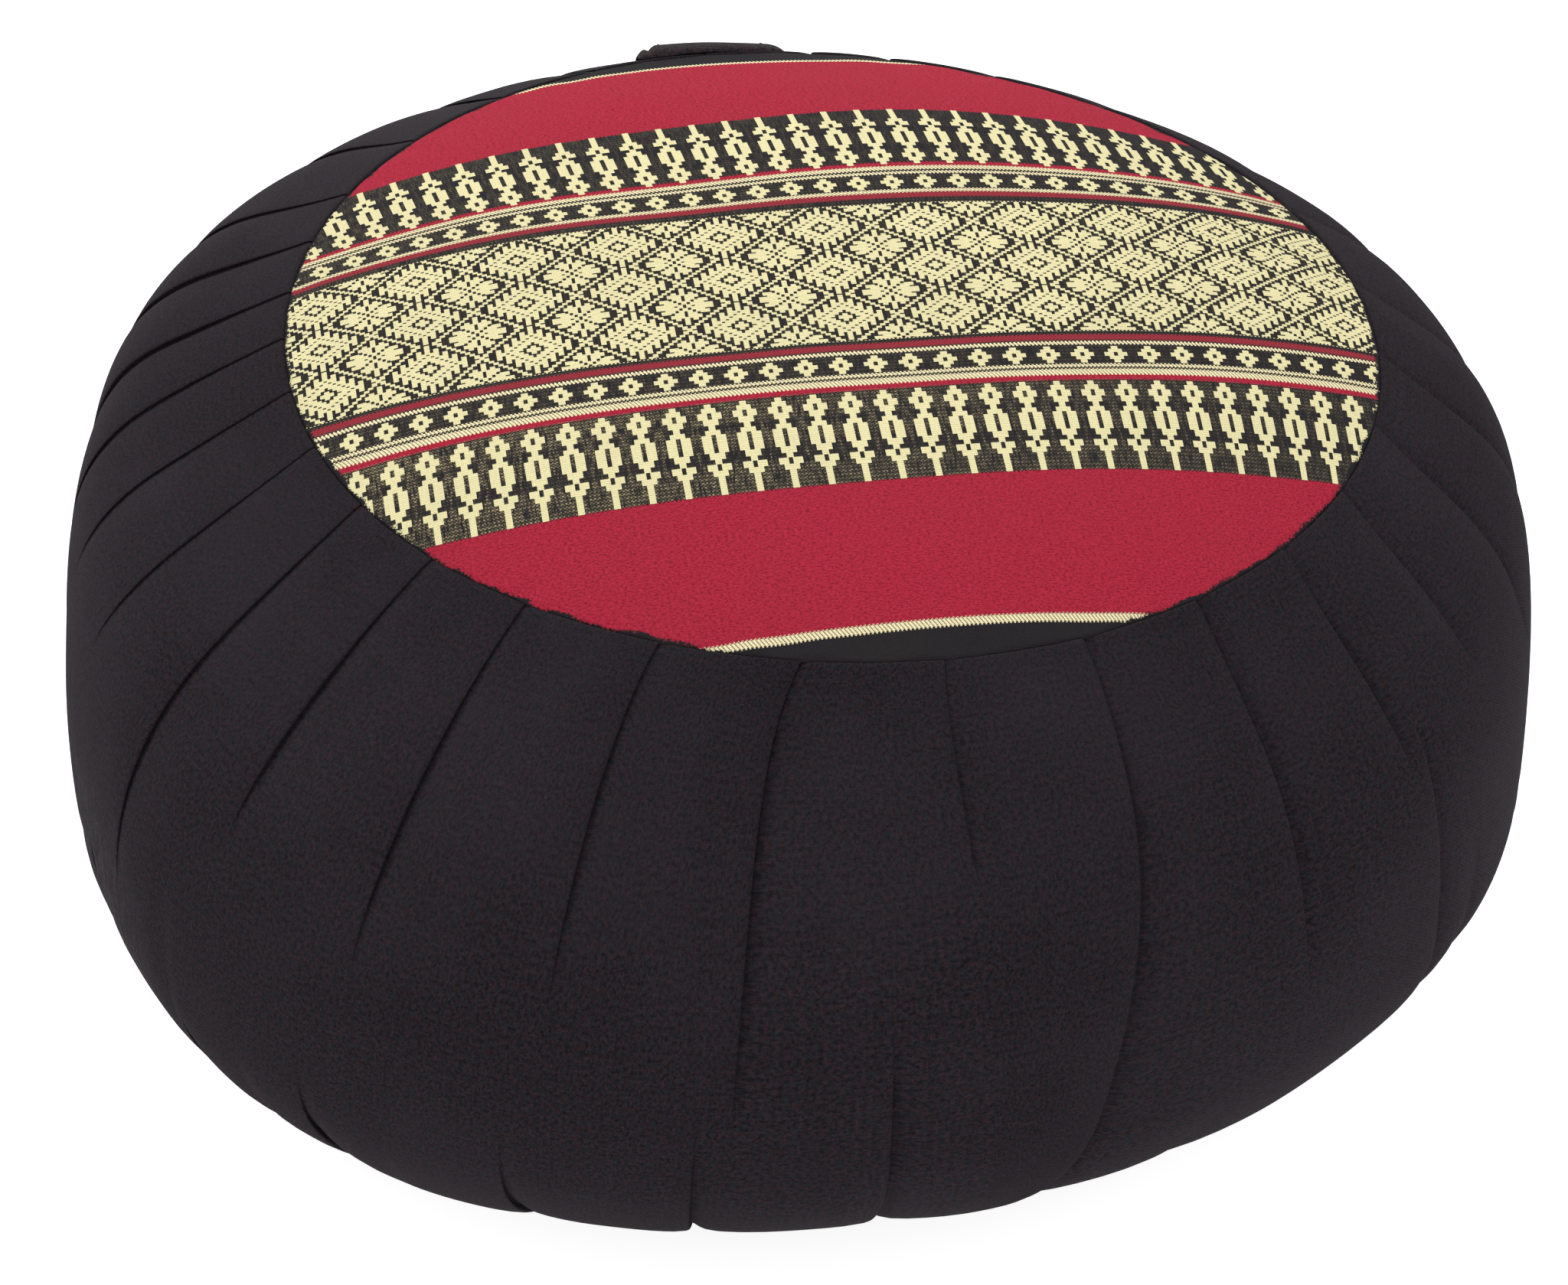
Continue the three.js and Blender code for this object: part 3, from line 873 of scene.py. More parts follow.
def plain_weave_group(name):
    """Over and under of a plain weave: thread height, which thread shows and a tint for each."""
    inputs = {"Place": "Vector", "Warp pitch": "Float", "Weft pitch": "Float"}
    outputs = {"Height": "Float", "Warp over": "Float", "Tint": "Float"}
    tree, entry, leave = new_group(name, "ShaderNodeTree", inputs, outputs)
    along, across = separated(tree, entry.outputs["Place"])
    warp = along / entry.outputs["Warp pitch"]
    weft = across / entry.outputs["Weft pitch"]
    over = (warp.floor() + weft.floor()) % 2
    warp_bulge = abs((warp * math.pi).math("SINE"))
    weft_bulge = abs((weft * math.pi).math("SINE"))
    warp_height = warp_bulge * (weft_bulge * 0.5 + 0.5)
    weft_height = weft_bulge * (warp_bulge * 0.5 + 0.5)
    warp_tint = random_of(tree, combined(tree, warp.floor(), 3.0, (weft / TINT_LENGTH).floor()))
    weft_tint = random_of(tree, combined(tree, 7.0, weft.floor(), (warp / TINT_LENGTH).floor()))
    plug(tree, over * warp_height + (1 - over) * weft_height, leave.inputs["Height"])
    plug(tree, over, leave.inputs["Warp over"])
    plug(tree, over * warp_tint + (1 - over) * weft_tint, leave.inputs["Tint"])
    return tree


def lint_group(name):
    """Sparse short hairs lying on dark cloth, as a mask."""
    inputs = {"Place": "Vector", "Amount": "Float"}
    tree, entry, leave = new_group(name, "ShaderNodeTree", inputs, {"Mask": "Float"})
    place = entry.outputs["Place"]
    scattered = {"Scale": LINT_CELLS, "Vector": place}
    cells = add_node(tree, "ShaderNodeTexVoronoi", scattered, voronoi_dimensions="2D")
    x, y = separated(tree, place)
    cell_x, cell_y = separated(tree, cells.outputs["Position"])
    x = x - cell_x / LINT_CELLS
    y = y - cell_y / LINT_CELLS
    turn = random_of(tree, cells.outputs["Position"]) * (2 * math.pi)
    cosine, sine = turn.math("COSINE"), turn.math("SINE")
    along = x * cosine + y * sine
    across = (y * cosine - x * sine) + along * along * HAIR_BEND
    size = random_of(tree, combined(tree, cell_x, cell_y, 5.0)) * HAIR_HALF_LENGTH
    hair = (abs(across) < HAIR_HALF_WIDTH) * (abs(along) < size)
    kept = random_of(tree, combined(tree, cell_x, cell_y, 9.0)) < entry.outputs["Amount"]
    plug(tree, hair * kept, leave.inputs["Mask"])
    return tree


def dust_group(name):
    """Pale dust rubbed into one place of the cloth, as a mask of short streaks."""
    inputs = {"Place": "Vector", "Middle": "Vector", "Reach": "Float"}
    tree, entry, leave = new_group(name, "ShaderNodeTree", inputs, {"Mask": "Float"})
    x, y = separated(tree, entry.outputs["Place"])
    middle_x, middle_y = separated(tree, entry.outputs["Middle"])
    away_x, away_y = x - middle_x, y - middle_y
    away = (away_x * away_x + away_y * away_y).math("SQRT") / entry.outputs["Reach"]
    streak = noise_of(tree, combined(tree, x * 0.45, y * 0.12), 1.0, 4, 0.75)
    mask = (streak * 4.0 - 1.8).positive() * (1 - away).positive() * 0.5
    plug(tree, mask, leave.inputs["Mask"])
    return tree


def use_group(tree, name, build, **inputs):
    """A group placed in a material with its own values. It is built where it isn't there yet."""
    group = bpy.data.node_groups.get(name) or build(name)
    named = {label.replace("_", " "): value for label, value in inputs.items()}
    return add_node(tree, "ShaderNodeGroup", named, node_tree=group)


# Neither the cloths nor the floor shine
SHINE = 0.04


def new_material(name, roughness, sheen, sheen_roughness):
    """An empty material with one Principled shader, its even values set on the shader itself."""
    material = bpy.data.materials.new(name)
    material.use_nodes = True
    tree = material.node_tree
    shader = tree.nodes["Principled BSDF"]
    shader.inputs["Roughness"].default_value = roughness
    shader.inputs["Specular IOR Level"].default_value = SHINE
    shader.inputs["Sheen Weight"].default_value = sheen
    shader.inputs["Sheen Roughness"].default_value = sheen_roughness
    return material, tree, shader


def cloth_place(tree, named_uv):
    """The cloth's own coordinates in millimetres, from its UV map or from its place in space."""
    if named_uv:
        place = add_node(tree, "ShaderNodeUVMap", uv_map=named_uv).outputs["UV"]
    else:
        place = add_node(tree, "ShaderNodeTexCoord").outputs["Object"]
    scaled = {0: place, "Scale": 1 / MM}
    return add_node(tree, "ShaderNodeVectorMath", scaled, operation="SCALE").outputs[0]


def bump(tree, shader, height, distance):
    """Feeds a height to the shader's normal."""
    node = add_node(tree, "ShaderNodeBump", {"Distance": distance, "Height": height})
    plug(tree, node.outputs[0], shader.inputs["Normal"])


def black_cotton(name, named_uv, shade, pitch, lint, dusty_at=None):
    """Black cotton of plain weave, with warm and cool threads, painted shade between its threads, a
    faint bloom and sparse lint.
    """
    material, tree, shader = new_material(name, roughness=0.95, sheen=0.01, sheen_roughness=0.5)
    place = cloth_place(tree, named_uv)
    weave = use_group(
        tree, "Plain weave", plain_weave_group, Place=place, Warp_pitch=pitch, Weft_pitch=pitch
    )
    tint = Wire(tree, weave.outputs["Tint"])
    height = Wire(tree, weave.outputs["Height"])
    grain = noise_of(tree, place, *GRAIN)
    fleck = noise_of(tree, place, *FLECK)
    cloud = noise_of(tree, place, *CLOUD)
    warm = tinted(shade, 1.6, 0.95, 1)
    cool = tinted(shade, 0.75, 1.1, 1.25)
    deep = tinted(shade, 0.3, 0.3, 0.3)
    bloom = tinted(shade, 1.8, 1.8, 1.9)
    threads = mixed(tree, grain * 4.2 - 1.6, warm, cool)
    threads = mixed(tree, (fleck * 6.0 - 2.5) * 0.75, threads, deep)
    # Darker at random threads, and more so where the weave dips: painted shade in the hollows between
    # the threads
    threads = mixed(tree, (tint * 0.5) * ((1 - height) * 0.6 + 0.4), threads, deep)
    threads = mixed(tree, (cloud * 1.6 - 0.65).positive() * 0.5, threads, bloom)
    if dusty_at:
        dust = use_group(tree, "Dust", dust_group, Place=place, Middle=dusty_at, Reach=DUST_REACH)
        threads = mixed(tree, dust.outputs["Mask"], threads, colour(*DUST))
    hairs = use_group(tree, "Lint", lint_group, Place=place, Amount=lint)
    threads = mixed(tree, Wire(tree, hairs.outputs["Mask"]) * 0.5, threads, colour(*LINT))
    plug(tree, threads, shader.inputs["Base Color"])
    bump(tree, shader, height + noise_of(tree, place, *UNEVENNESS) * 0.25, 0.12 * MM)
    return material


# The lattice, charted over a quarter of its repeat: from a diamond's middle at the first column of
# the first row to a flower's middle at the last of the last, mirrored both ways. Marks are dark.
LATTICE_CHART = """
..##..#..###.
..#......##..
.##..#.#.##.#
.#.....#.##.#
##..#..#.#.##
#......###.#.
#..#.#.##.##.
.....#.##.##.
..#..#.#.###.
.....###.#.#.
.#.#.##.##.#.
...#.##.#....
#..#.#.##...#
...###.##...#
.#.##.####..#
.#.##.#..#..#
.#.#.##...#.#
.###.##...#..
.##.####...#.
.##.##.....#.
.#..##......#
##.###....#.#
""".split()

# The tree motif from tip to stem: height in millimetres, then how far its light float, its hole and
# the plain black beside it reach from its axis, as shares of half a pitch
TREE_STEPS = (
    (1.5, 0.19, 0, 0),
    (1.9, 0.41, 0, 0),
    (2.4, 0.68, 0.12, 0),
    (2.2, 0.43, 0, 0),
    (1.8, 0.19, 0, 0.75),
    (1.8, 0.43, 0, 0.7),
    (4.4, 0.69, 0.13, 0),
    (2.0, 0.69, 0.13, 0.85),
    (2.2, 0.44, 0, 0.92),
    (1.7, 0.19, 0, 0.92),
    (2.2, 0.68, 0.12, 0.8),
    (2.0, 0.43, 0, 0),
    (6.2, 0.19, 0, 0),
)
ROSETTE_STEPS = (
    (1.3, 0.2, 0, 0),
    (1.3, 0.42, 0, 0),
    (1.5, 0.68, 0.12, 0),
    (1.3, 0.42, 0, 0),
    (1.2, 0.2, 0, 0),
)


def height_of(steps):
    """The height of a stepped motif."""
    return sum(step[0] for step in steps)


# The rows of motifs: the way each runs across the cloth, where it begins that way in millimetres,
# and its steps. The trees stand with their tips to the middle of the cloth.
ROSETTE_HALF = height_of(ROSETTE_STEPS) / 2
MOTIF_ROWS = (
    (-1, 41.9, TREE_STEPS),
    (1, 57.2, TREE_STEPS),
    (1, -31.5 - ROSETTE_HALF, ROSETTE_STEPS),
    (1, 48.1 - ROSETTE_HALF, ROSETTE_STEPS),
)

# Three trees or rosettes stand in each repeat of the lattice
MOTIFS_TO_REPEAT = 3

# The specks of light yarn in the dark ground lie in rows of this height, in millimetres, and grow
# fewer by this share for each millimetre to the right. The plain black beside a tree hides most
# of them.
SPECK_ROW = 1.3
SPECKS_LOST = 0.004
SPECKS_HIDDEN = 0.8

# The height over which a rib's twist comes round, and how ragged the edge of a stripe is, in
# millimetres; and the height of a row of the floats, in wefts
RIB_TWIST = 1.7
RAGGED = 0.42
FLOAT_ROW = 1.35

# The noise of the striped cloth, as cells to a millimetre, detail and roughness: patches, soiling,
# and how the seam's edge frays and wanders
PATCHES = (0.3, 2, 0.6)
SOILING = (0.03, 3, 0.6)
FRAYING = (1.5, 3, 0.75)
WANDERING = (0.13, 2, 0.5)

# How far a light float spreads over the dark beside it, as a share of a column of the chart
FLOAT_SPREAD = 0.12

# Added to a code before its fraction is dropped, so that rounding can't take a whole one away
CODE_MARGIN = 0.00003

# The lattice runs between these places across the cloth, in millimetres from the middle line
LATTICE_FROM = -21.75
LATTICE_TO = 37.7

# The stripes across the cloth, from near to far: where each ends in millimetres, and its yarn
STRIPES = (
    (-119.7, "sliver"),
    (-117.4, "rib"),
    (-74.2, "red"),
    (-41.5, "ground"),
    (-39.5, "red"),
    (-37.2, "rib"),
    (-36.5, "black"),
    (-35.3, "rib"),
    (-27.4, "black"),
    (-26.2, "rib"),
    (-25.6, "black"),
    (-23.3, "soft_red"),
    (LATTICE_FROM, "black"),
    (LATTICE_TO, "cream"),
    (40.4, "black"),
    (42.9, "soft_red"),
    (44.4, "rib"),
    (52.0, "black"),
    (53.2, "rib"),
    (54.2, "black"),
    (56.1, "rib"),
    (58.0, "red"),
    (89.2, "far_ground"),
    (127.2, "red"),
    (128.6, "rib"),
    (200.0, "sliver"),
)


def stepped_ramp(tree, place, stops):
    """The three numbers that hold at a place, from stops that each have a start and its numbers."""
    ramp = add_node(tree, "ShaderNodeValToRGB", {0: place})
    ramp.color_ramp.interpolation = "CONSTANT"
    elements = ramp.color_ramp.elements
    for index, (start, numbers) in enumerate(stops):
        stop = elements[index] if index < 2 else elements.new(start)
        stop.position = start
        stop.color = (*numbers, 1)
    split = add_node(tree, "ShaderNodeSeparateColor", {0: ramp.outputs["Color"]})
    return [Wire(tree, output) for output in split.outputs]


def stepped_motif(tree, aside, up, steps):
    """Masks of a motif mirrored about its axis, and of its surround; aside is 1 at half a pitch."""
    total = height_of(steps)
    share = up / total
    starts = np.cumsum([0, *[step[0] for step in steps[:-1]]]) / total
    stops = [(start, step[1:]) for start, step in zip(starts, steps)]
    width, hole, surround = stepped_ramp(tree, share, stops)
    inside = (share > 0.0) * (share < 1.0)
    return (aside < width) * (aside > hole) * inside, (aside < surround) * inside


def lattice_dark(tree, aside, up):
    """Whether the charted lattice is dark at a column and a row counted from a diamond's middle."""
    count, columns = len(LATTICE_CHART), len(LATTICE_CHART[0])
    codes = [sum(2**column for column, mark in enumerate(row) if mark == "#") for row in LATTICE_CHART]
    stops = [(index / count, [code / 2**columns] * 3) for index, code in enumerate(codes)]
    held = stepped_ramp(tree, (up.rounded() + 0.5) / count, stops)[0]
    code = (held * 2**columns).rounded()
    return (code / 2 ** aside.rounded() + CODE_MARGIN).floor() % 2


def lattice_mask(tree, weave, along, across):
    """The dark of the lattice; its light floats spread a little over the dark ground."""
    columns = len(LATTICE_CHART[0]) - 1
    rows = len(LATTICE_CHART) - 1
    half_width = weave.repeat_width / MM / 2
    half_height = weave.repeat_height / MM / 2
    step = half_width / columns
    up = (across - weave.middle / MM).mirrored(half_height) * (rows / half_height)
    sides = []
    for spread in (-FLOAT_SPREAD, FLOAT_SPREAD):
        aside = (along - weave.axis / MM + spread * step).mirrored(half_width) / step
        sides.append(lattice_dark(tree, aside, up))
    return sides[0] * sides[1]


def motif_masks(tree, weave, along, across):
    """The light floats of every row of trees and rosettes, and their plain black surrounds."""
    half_pitch = weave.repeat_width / MM / MOTIFS_TO_REPEAT / 2
    aside = (along - (weave.axis / MM + half_pitch)).mirrored(half_pitch) * (1 / half_pitch)
    masks = [stepped_motif(tree, aside, across * way - start, steps) for way, start, steps in MOTIF_ROWS]
    floats, surround = masks[0]
    for motif, black_beside in masks[1:]:
        floats = floats.math("MAXIMUM", motif)
        surround = surround.math("MAXIMUM", black_beside)
    return floats, surround


def woven_stripes(weave, yarns):
    """The handwoven cloth of the top: stripes, a charted lattice, and rows of trees and rosettes."""
    material, tree, shader = new_material(
        "woven_stripe", roughness=0.85, sheen=0.012, sheen_roughness=0.4
    )
    place = cloth_place(tree, "cloth")
    along, across = separated(tree, place)
    warp, weft = weave.warp_pitch / MM, weave.weft_pitch / MM
    basic = use_group(
        tree, "Plain weave", plain_weave_group, Place=place, Warp_pitch=warp / 2, Weft_pitch=weft
    )
    tint = Wire(tree, basic.outputs["Tint"])
    thread = Wire(tree, basic.outputs["Height"])
    over = Wire(tree, basic.outputs["Warp over"])
    floats, surround = motif_masks(tree, weave, along, across)

    # What makes one thread differ from the next
    warp_end = (along / (warp / 2)).floor()
    cell = random_of(tree, combined(tree, warp_end, (across / weft).floor(), 2.0))
    patch = noise_of(tree, place, *PATCHES)
    streak = noise_of(tree, combined(tree, along * 1.9, across * 0.22), 1.0, 2, 0.6)
    dash = noise_of(tree, combined(tree, along * 1.1, across * 2.2), 1.0, 3, 0.75)
    speck_rows = (((across / SPECK_ROW) % 1) < 0.5) * 0.7 + 0.3
    specks = (patch * 1.5 + streak * 3.6 - 2.05).positive() * (over * 0.8 + 0.1) * speck_rows
    specks = specks * (along * -SPECKS_LOST + 1.0)
    open_ground = specks * (1 - surround * SPECKS_HIDDEN)
    slope = (along / warp + across / RIB_TWIST) % 1
    # The lines between rows of floats: grooves in the bump, and painted shade on the cream
    row_line = ((across / (weft * FLOAT_ROW)) % 1) < 0.2

    def cloth(share, first, second):
        return mixed(tree, share, yarns[first], yarns[second])

    cloths = {
        "black": cloth(specks * 0.3, "black", "speck"),
        "ground": cloth(open_ground, "black", "speck"),
        "far_ground": cloth(open_ground * 0.3, "black", "speck"),
        "sliver": cloth(cell * streak * 0.12, "black", "olive"),
        # Red and soft red turn towards red_low at random threads and dashes, and where the threads dip:
        # painted shade between the threads
        "red": cloth((1 - thread) * 0.2 + cell * 0.25 + dash * 5.0 - 2.4, "red", "red_low"),
        "soft_red": cloth((1 - thread) * 0.3 + cell * 0.3, "soft_red", "red_low"),
        "rib": cloth((slope < 0.3) * 0.75 + cell * 0.1, "rib", "olive"),
        # Cream turns towards cream_low along the lines between rows of floats, as painted shade in those
        # grooves, and a little at random threads
        "cream": cloth(row_line * 0.3 + tint * 0.12, "cream", "cream_low"),
    }

    # The stripes, with the lattice, the trees and the rosettes over them
    shown = cloths[STRIPES[0][1]]
    edge_place = across + ((warp_end % 2) - 0.5) * RAGGED
    for (edge, _), (_, yarn) in zip(STRIPES, STRIPES[1:]):
        shown = mixed(tree, edge_place > edge, shown, cloths[yarn])
    in_lattice = (across > LATTICE_FROM) * (across < LATTICE_TO)
    lattice = lattice_mask(tree, weave, along, across) * in_lattice
    shown = mixed(tree, lattice, shown, cloth(over * tint * 0.8, "black", "olive"))
    shown = mixed(tree, floats, shown, cloths["cream"])

    # The edge at the seam, where a few dark threads of the wall lie over it, and a little soiling
    rim = Wire(tree, add_node(tree, "ShaderNodeAttribute", attribute_name="rim").outputs["Fac"])
    wander = noise_of(tree, place, *WANDERING) * 3.4 - 1.5
    frayed = noise_of(tree, place, *FRAYING) * 3.6 - 0.9 + wander
    shown = mixed(tree, rim < frayed, shown, yarns["black"])
    soil = noise_of(tree, place, *SOILING)
    shown = mixed(tree, (soil - 0.4).positive() * 0.2, shown, yarns["olive"])
    plug(tree, shown, shader.inputs["Base Color"])
    raised = floats.math("MAXIMUM", (1 - lattice) * in_lattice)
    bump(tree, shader, thread * 0.7 + raised * 1.2 - row_line * raised * 0.5, 0.16 * MM)
    return material


def stripe_yarns(colours):
    """The yarns of the striped cloth, from the colours that a user may change."""
    red, cream = colours.red, colours.cream
    return {
        "red": tinted(red, 1, 1, 1),
        # A darker red for random threads, and for the painted shade where the weave dips
        "red_low": tinted(red, 0.5, 0.45, 0.5),
        "soft_red": tinted(red, 0.68, 1.5, 0.95),
        "cream": tinted(cream, 1, 1, 1),
        # A darker cream for the painted shade between rows of floats, and for random threads
        "cream_low": tinted(cream, 0.55, 0.52, 0.42),
        "black": tinted(colours.ground_black, 1, 1, 1),
        "rib": tinted(cream, 1.08, 1.04, 1.12),
        "olive": tinted(cream, 0.075, 0.069, 0.07),
        "speck": tinted(cream, 0.42, 0.38, 0.37),
    }


def length_property(label, text, default):
    """A length that a user may change."""
    return FloatProperty(name=label, description=text, default=default, unit="LENGTH", min=0)


def angle_property(label, text, degrees):
    """An angle that a user may change."""
    return FloatProperty(name=label, description=text, default=math.radians(degrees), subtype="ANGLE")


def number_property(label, text, default, low=0):
    """A plain number that a user may change."""
    return FloatProperty(name=label, description=text, default=default, min=low)


class CushionForm(bpy.types.PropertyGroup):
    """The sizes of the filled body."""

    seam_radius: length_property("Seam radius", "Mean radius of the top seam", 136.5 * MM)
    seam_height: length_property("Seam height", "Height of the top seam", 183 * MM)
    crown: length_property("Crown", "How far the top rises over its seam", 18 * MM)
    widest_radius: length_property("Widest radius", "Mean radius at the widest line", 200 * MM)
    widest_height: length_property("Widest height", "Height of the widest line", 81 * MM)
    contact_radius: length_property("Contact radius", "Mean radius of the flat underside", 104 * MM)


class CushionPleats(bpy.types.PropertyGroup):
    """How the cloth of the wall is folded."""

    overlap: length_property("Overlap", "How far a fold doubles back under its edge", 2.6 * MM)
    depth_share: number_property("Depth share", "Scales each fold's depth", 1)
    puff: length_property("Puff", "How far the cloth swells between two folds", 0.35 * MM)
    column_spacing: number_property("Column spacing", "Degrees between the mesh's columns", 1.1, 0.3)
    rows: IntProperty(name="Rows", description="Rows of the wall's mesh", default=110, min=20)


class CushionWeave(bpy.types.PropertyGroup):
    """The weave of the woven panel."""

    turn: angle_property("Turn", "How far the stripes are turned", 5.57)
    warp_pitch: length_property("Warp pitch", "Width of one step of the charted pattern", 1.03 * MM)
    weft_pitch: length_property("Weft pitch", "Height of one weft row", 0.5 * MM)
    repeat_width: length_property("Repeat width", "Width of the lattice's repeat", 26.7 * MM)
    repeat_height: length_property("Repeat height", "Height of the lattice's repeat", 19.9 * MM)
    axis: length_property("Axis", "Place of a diamond's middle along the stripes", 24.1 * MM)
    middle: length_property("Middle", "Place of a diamond's middle across the stripes", 8.3 * MM)


class CushionStrap(bpy.types.PropertyGroup):
    """The carrying strap."""

    angle: number_property("Angle", "Degrees round the cushion", 93.1)
    width: length_property("Width", "Width of the strap", 41 * MM)
    thickness: length_property("Thickness", "Thickness of the doubled cloth", 2.6 * MM)
    seat: length_property("Seat", "Gap to the wall", 0.9 * MM)
    slack: length_property("Slack", "How far the strap hangs from the wall", 18 * MM)
    sag: number_property("Sag", "How low the slack hangs", 1.5)
    start: number_property("Start", "Level of its upper end", 0.005)
    end: number_property("End", "Level of its lower end", 1.8)
    corner: length_property("Corner", "How far its soft edges reach into it", 4.5 * MM)
    twist: length_property("Twist", "How much higher one edge lies than the other", 1.5 * MM)
    crease: length_property("Crease", "Depth of the crease along one edge", 1.3 * MM)
    stitch_inset: length_property("Stitch inset", "From the edge to the stitching", 6 * MM)
    stitch_pitch: length_property("Stitch pitch", "From one stitch to the next", 2.8 * MM)
    stitch_length: length_property("Stitch length", "Length of one stitch", 2.2 * MM)
    thread: length_property("Thread", "Thickness of the thread", 0.4 * MM)


# The stage: half the floor's width, the width of the camera's sensor in millimetres, and the point
# that the camera looks at, to the right of the axis, over the floor, and down the picture from there
FLOOR_HALF = 6.0
SENSOR_WIDTH = 36
AIM_RIGHT = 8.57 * MM
AIM_HEIGHT = 90 * MM
AIM_DOWN = 4.07 * MM

# The large soft lights: name, place in metres, width in metres and watts
SOFT_BOXES = (
    ("over", (-0.3, 1.1, 1.65), 1.6, 30.5),
    ("left", (-1.7, -0.9, 1.1), 1.2, 1.5),
    ("right", (1.7, -0.7, 1.0), 1.2, 1.0),
    ("front", (0.2, -2.1, 1.5), 1.6, 9.5),
)
LIGHTS_AIM = (0, 0, 0.1)


def shade_property(label, text, red, green, blue):
    """A colour that a user may change."""
    return FloatVectorProperty(
        name=label, description=text, default=colour(red, green, blue)[:3], subtype="COLOR", min=0, max=1
    )


class CushionColours(bpy.types.PropertyGroup):
    """The colours of the cloths."""

    red: shade_property("Red", "Red yarn of the panel", 160, 37, 56)
    cream: shade_property("Cream", "Cream yarn of the panel", 214, 206, 161)
    ground_black: shade_property("Ground black", "Black yarn of the panel", 32, 30, 33)
    wall_black: shade_property("Wall black", "Cotton of the wall", 37, 34, 37)
    # The strap is the wall's black cotton, painted lighter for the light that falls on it from behind
    # and above: painted light
    strap_black_painted_light: shade_property("Strap black", "Cotton of the strap", 50, 46, 47)


class CushionStage(bpy.types.PropertyGroup):
    """The floor, the lights and the camera."""

    floor: shade_property("Floor", "Colour of the floor", 200, 200, 200)
    floor_glow: number_property("Floor glow", "Light of the table under the floor", 0.78)
    elevation: angle_property("Elevation", "The camera's height angle", 39.9)
    roll: angle_property("Roll", "The camera's roll", -0.84)
    distance: length_property("Distance", "Distance of the camera", 1.443)
    lens: number_property("Lens", "Focal length in millimetres", 122.3)


class CUSHION_OT_wall(bpy.types.Operator):
    """Make the pleated wall with its filling"""

    bl_idname = "cushion.pleated_wall"
    bl_label = "Pleated wall"

    def execute(self, context):
        scene = context.scene
        shade = scene.cushion_colours.wall_black
        cotton = black_cotton("wall_cotton", "cloth", shade, pitch=0.55, lint=0.14, dusty_at=DUSTY_PLACE)
        wall = new_object("pleated_wall", wall_mesh(scene.cushion_form, scene.cushion_pleats), cotton)
        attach(wall, BODY)
        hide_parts("cushion_body")
        return {"FINISHED"}


class CUSHION_OT_top_panel(bpy.types.Operator):
    """Make the woven panel of the top"""

    bl_idname = "cushion.top_panel"
    bl_label = "Woven top panel"

    def execute(self, context):
        scene = context.scene
        cloth = woven_stripes(scene.cushion_weave, stripe_yarns(scene.cushion_colours))
        panel = new_object("woven_panel", panel_mesh(scene.cushion_form, scene.cushion_weave), cloth)
        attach(panel, BODY)
        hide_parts("top_panel")
        return {"FINISHED"}


class CUSHION_OT_base_panel(bpy.types.Operator):
    """Make the plain panel under the cushion"""

    bl_idname = "cushion.base_panel"
    bl_label = "Base panel"

    def execute(self, context):
        scene = context.scene
        cotton = black_cotton("base_cotton", "", scene.cushion_colours.wall_black, pitch=0.55, lint=0.1)
        panel = new_object("base_cloth", base_mesh(scene.cushion_form), cotton)
        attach(panel, BODY)
        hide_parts("base_panel")
        return {"FINISHED"}


class CUSHION_OT_strap(bpy.types.Operator):
    """Make the carrying strap"""

    bl_idname = "cushion.carry_strap"
    bl_label = "Carrying strap"

    def execute(self, context):
        scene = context.scene
        form, strap_sizes = scene.cushion_form, scene.cushion_strap
        # The strap's colour is the black cotton painted lighter for the light on it
        cotton = black_cotton("strap_cotton", "", scene.cushion_colours.strap_black_painted_light, pitch=0.5, lint=0.1)
        strap = new_object("carry_strap", strap_mesh(form, strap_sizes), cotton)
        line = strap_line(form, strap_sizes, strap_sizes.thickness / 2, np.linspace(0, 1, 60))
        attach(strap, BODY)
        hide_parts("carry_handle")
        stitches = made_by_nodes(
            "strap_stitches",
            thread_paths(form, strap_sizes),
            stitch_tree(cotton),
            Pitch=strap_sizes.stitch_pitch,
            Length=strap_sizes.stitch_length,
            Thread=strap_sizes.thread,
        )
        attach(stitches, BODY)
        return {"FINISHED"}


class CUSHION_OT_stage(bpy.types.Operator):
    """Make the floor, the lights and the camera"""

    bl_idname = "cushion.stage"
    bl_label = "Stage"

    def execute(self, context):
        scene = context.scene
        look = scene.cushion_stage
        mesh = bpy.data.meshes.new("floor")
        corners = [(x * FLOOR_HALF, y * FLOOR_HALF, 0) for x, y in ((-1, -1), (1, -1), (1, 1), (-1, 1))]
        mesh.from_pydata(corners, [], [range(4)])
        material, _, shader = new_material("floor_paper", roughness=0.9, sheen=0.0, sheen_roughness=0.5)
        shader.inputs["Base Color"].default_value = (*look.floor, 1)
        shader.inputs["Emission Color"].default_value = (1, 1, 1, 1)
        shader.inputs["Emission Strength"].default_value = look.floor_glow
        new_object("floor", mesh, material)
        aim_camera(scene, look)
        light_stage(scene)
        return {"FINISHED"}


def aim_camera(scene, look):
    """A camera in front and above, aimed a little to the right of the cushion's axis."""
    data = bpy.data.cameras.new("camera")
    data.lens = look.lens
    data.sensor_width = SENSOR_WIDTH
    camera = bpy.data.objects.new("camera", data)
    scene.collection.objects.link(camera)
    back = Vector((0, -math.cos(look.elevation), math.sin(look.elevation)))
    upward = Vector((0, math.sin(look.elevation), math.cos(look.elevation)))
    camera.location = Vector((0, 0, AIM_HEIGHT)) + back * look.distance
    target = Vector((AIM_RIGHT, 0, AIM_HEIGHT)) - upward * AIM_DOWN
    camera.rotation_mode = "QUATERNION"
    towards = (target - camera.location).to_track_quat("-Z", "Y")
    camera.rotation_quaternion = towards @ Quaternion((0, 0, 1), look.roll)
    scene.camera = camera


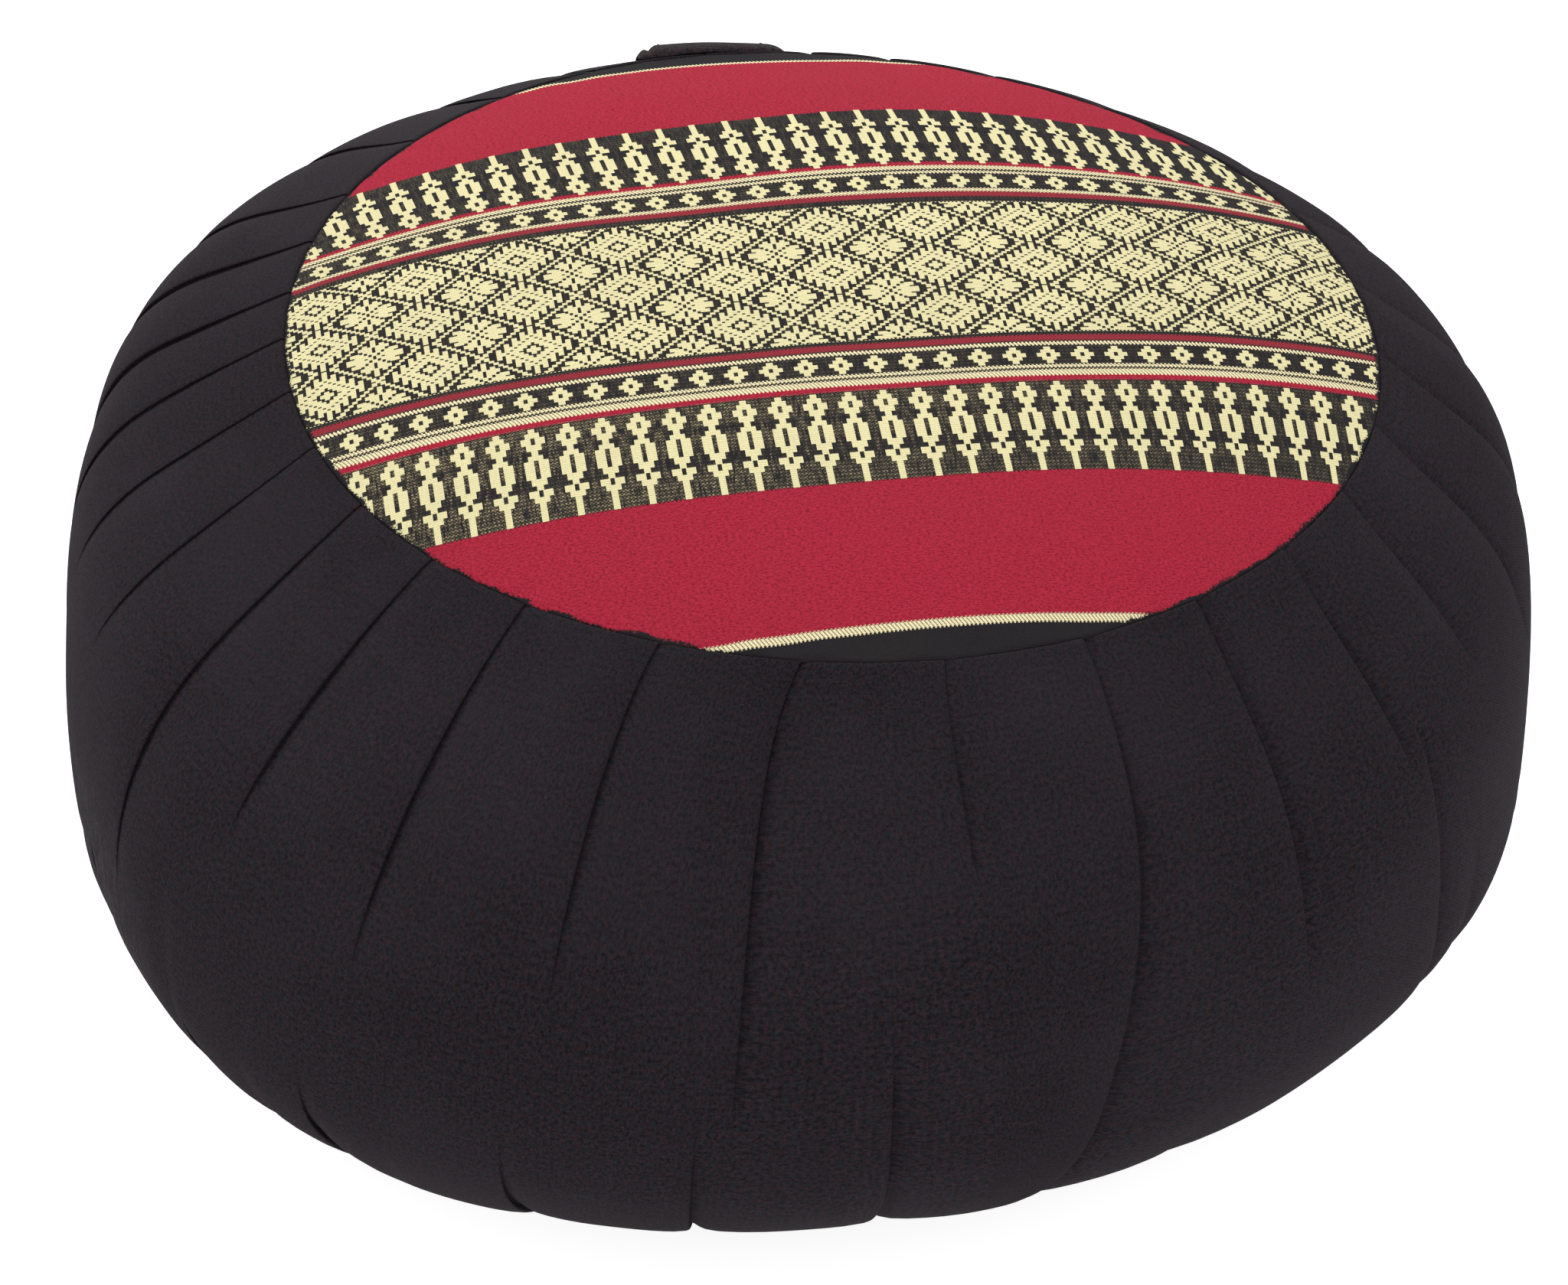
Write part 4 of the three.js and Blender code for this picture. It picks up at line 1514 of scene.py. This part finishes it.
def light_stage(scene):
    """Plain soft studio light: a pale surround and four large soft boxes."""
    world = bpy.data.worlds.new("surround")
    scene.world = world
    world.use_nodes = True
    background = world.node_tree.nodes["Background"]
    background.inputs["Color"].default_value = (1, 1, 1, 1)
    background.inputs["Strength"].default_value = 1.0
    for name, place, width, watts in SOFT_BOXES:
        data = bpy.data.lights.new(name, "AREA")
        data.energy = watts
        data.size = width
        lamp = bpy.data.objects.new(name, data)
        lamp.location = place
        lamp.rotation_mode = "QUATERNION"
        lamp.rotation_quaternion = (Vector(LIGHTS_AIM) - Vector(place)).to_track_quat("-Z", "Y")
        scene.collection.objects.link(lamp)
    scene.view_settings.view_transform = "Standard"


class CUSHION_PT_sidebar(bpy.types.Panel):
    """The cushion's sizes, colours and steps"""

    bl_label = "Cushion"
    bl_idname = "CUSHION_PT_sidebar"
    bl_space_type = "VIEW_3D"
    bl_region_type = "UI"
    bl_category = "Cushion"

    def draw(self, context):
        for name in SETTINGS:
            settings = getattr(context.scene, name)
            box = self.layout.box()
            for key in settings.__annotations__:
                box.prop(settings, key)
        for operator in OPERATORS:
            self.layout.operator(operator.bl_idname)


SETTINGS = {
    "cushion_form": CushionForm,
    "cushion_pleats": CushionPleats,
    "cushion_weave": CushionWeave,
    "cushion_strap": CushionStrap,
    "cushion_colours": CushionColours,
    "cushion_stage": CushionStage,
}
OPERATORS = (
    CUSHION_OT_wall,
    CUSHION_OT_top_panel,
    CUSHION_OT_base_panel,
    CUSHION_OT_strap,
    CUSHION_OT_stage,
)


def register():
    """Adds the settings, the operators and the panel."""
    for name, group in SETTINGS.items():
        bpy.utils.register_class(group)
        setattr(bpy.types.Scene, name, PointerProperty(type=group))
    for operator in OPERATORS:
        bpy.utils.register_class(operator)
    bpy.utils.register_class(CUSHION_PT_sidebar)


def unregister():
    """Takes the panel, the operators and the settings away."""
    bpy.utils.unregister_class(CUSHION_PT_sidebar)
    for operator in reversed(OPERATORS):
        bpy.utils.unregister_class(operator)
    for name, group in reversed(SETTINGS.items()):
        delattr(bpy.types.Scene, name)
        bpy.utils.unregister_class(group)


def main():
    """Makes the stage and the cushion."""
    register()
    bpy.ops.cushion.stage()
    bpy.ops.cushion.pleated_wall()
    bpy.ops.cushion.top_panel()
    bpy.ops.cushion.base_panel()
    bpy.ops.cushion.carry_strap()


if __name__ == "__main__":
    main()
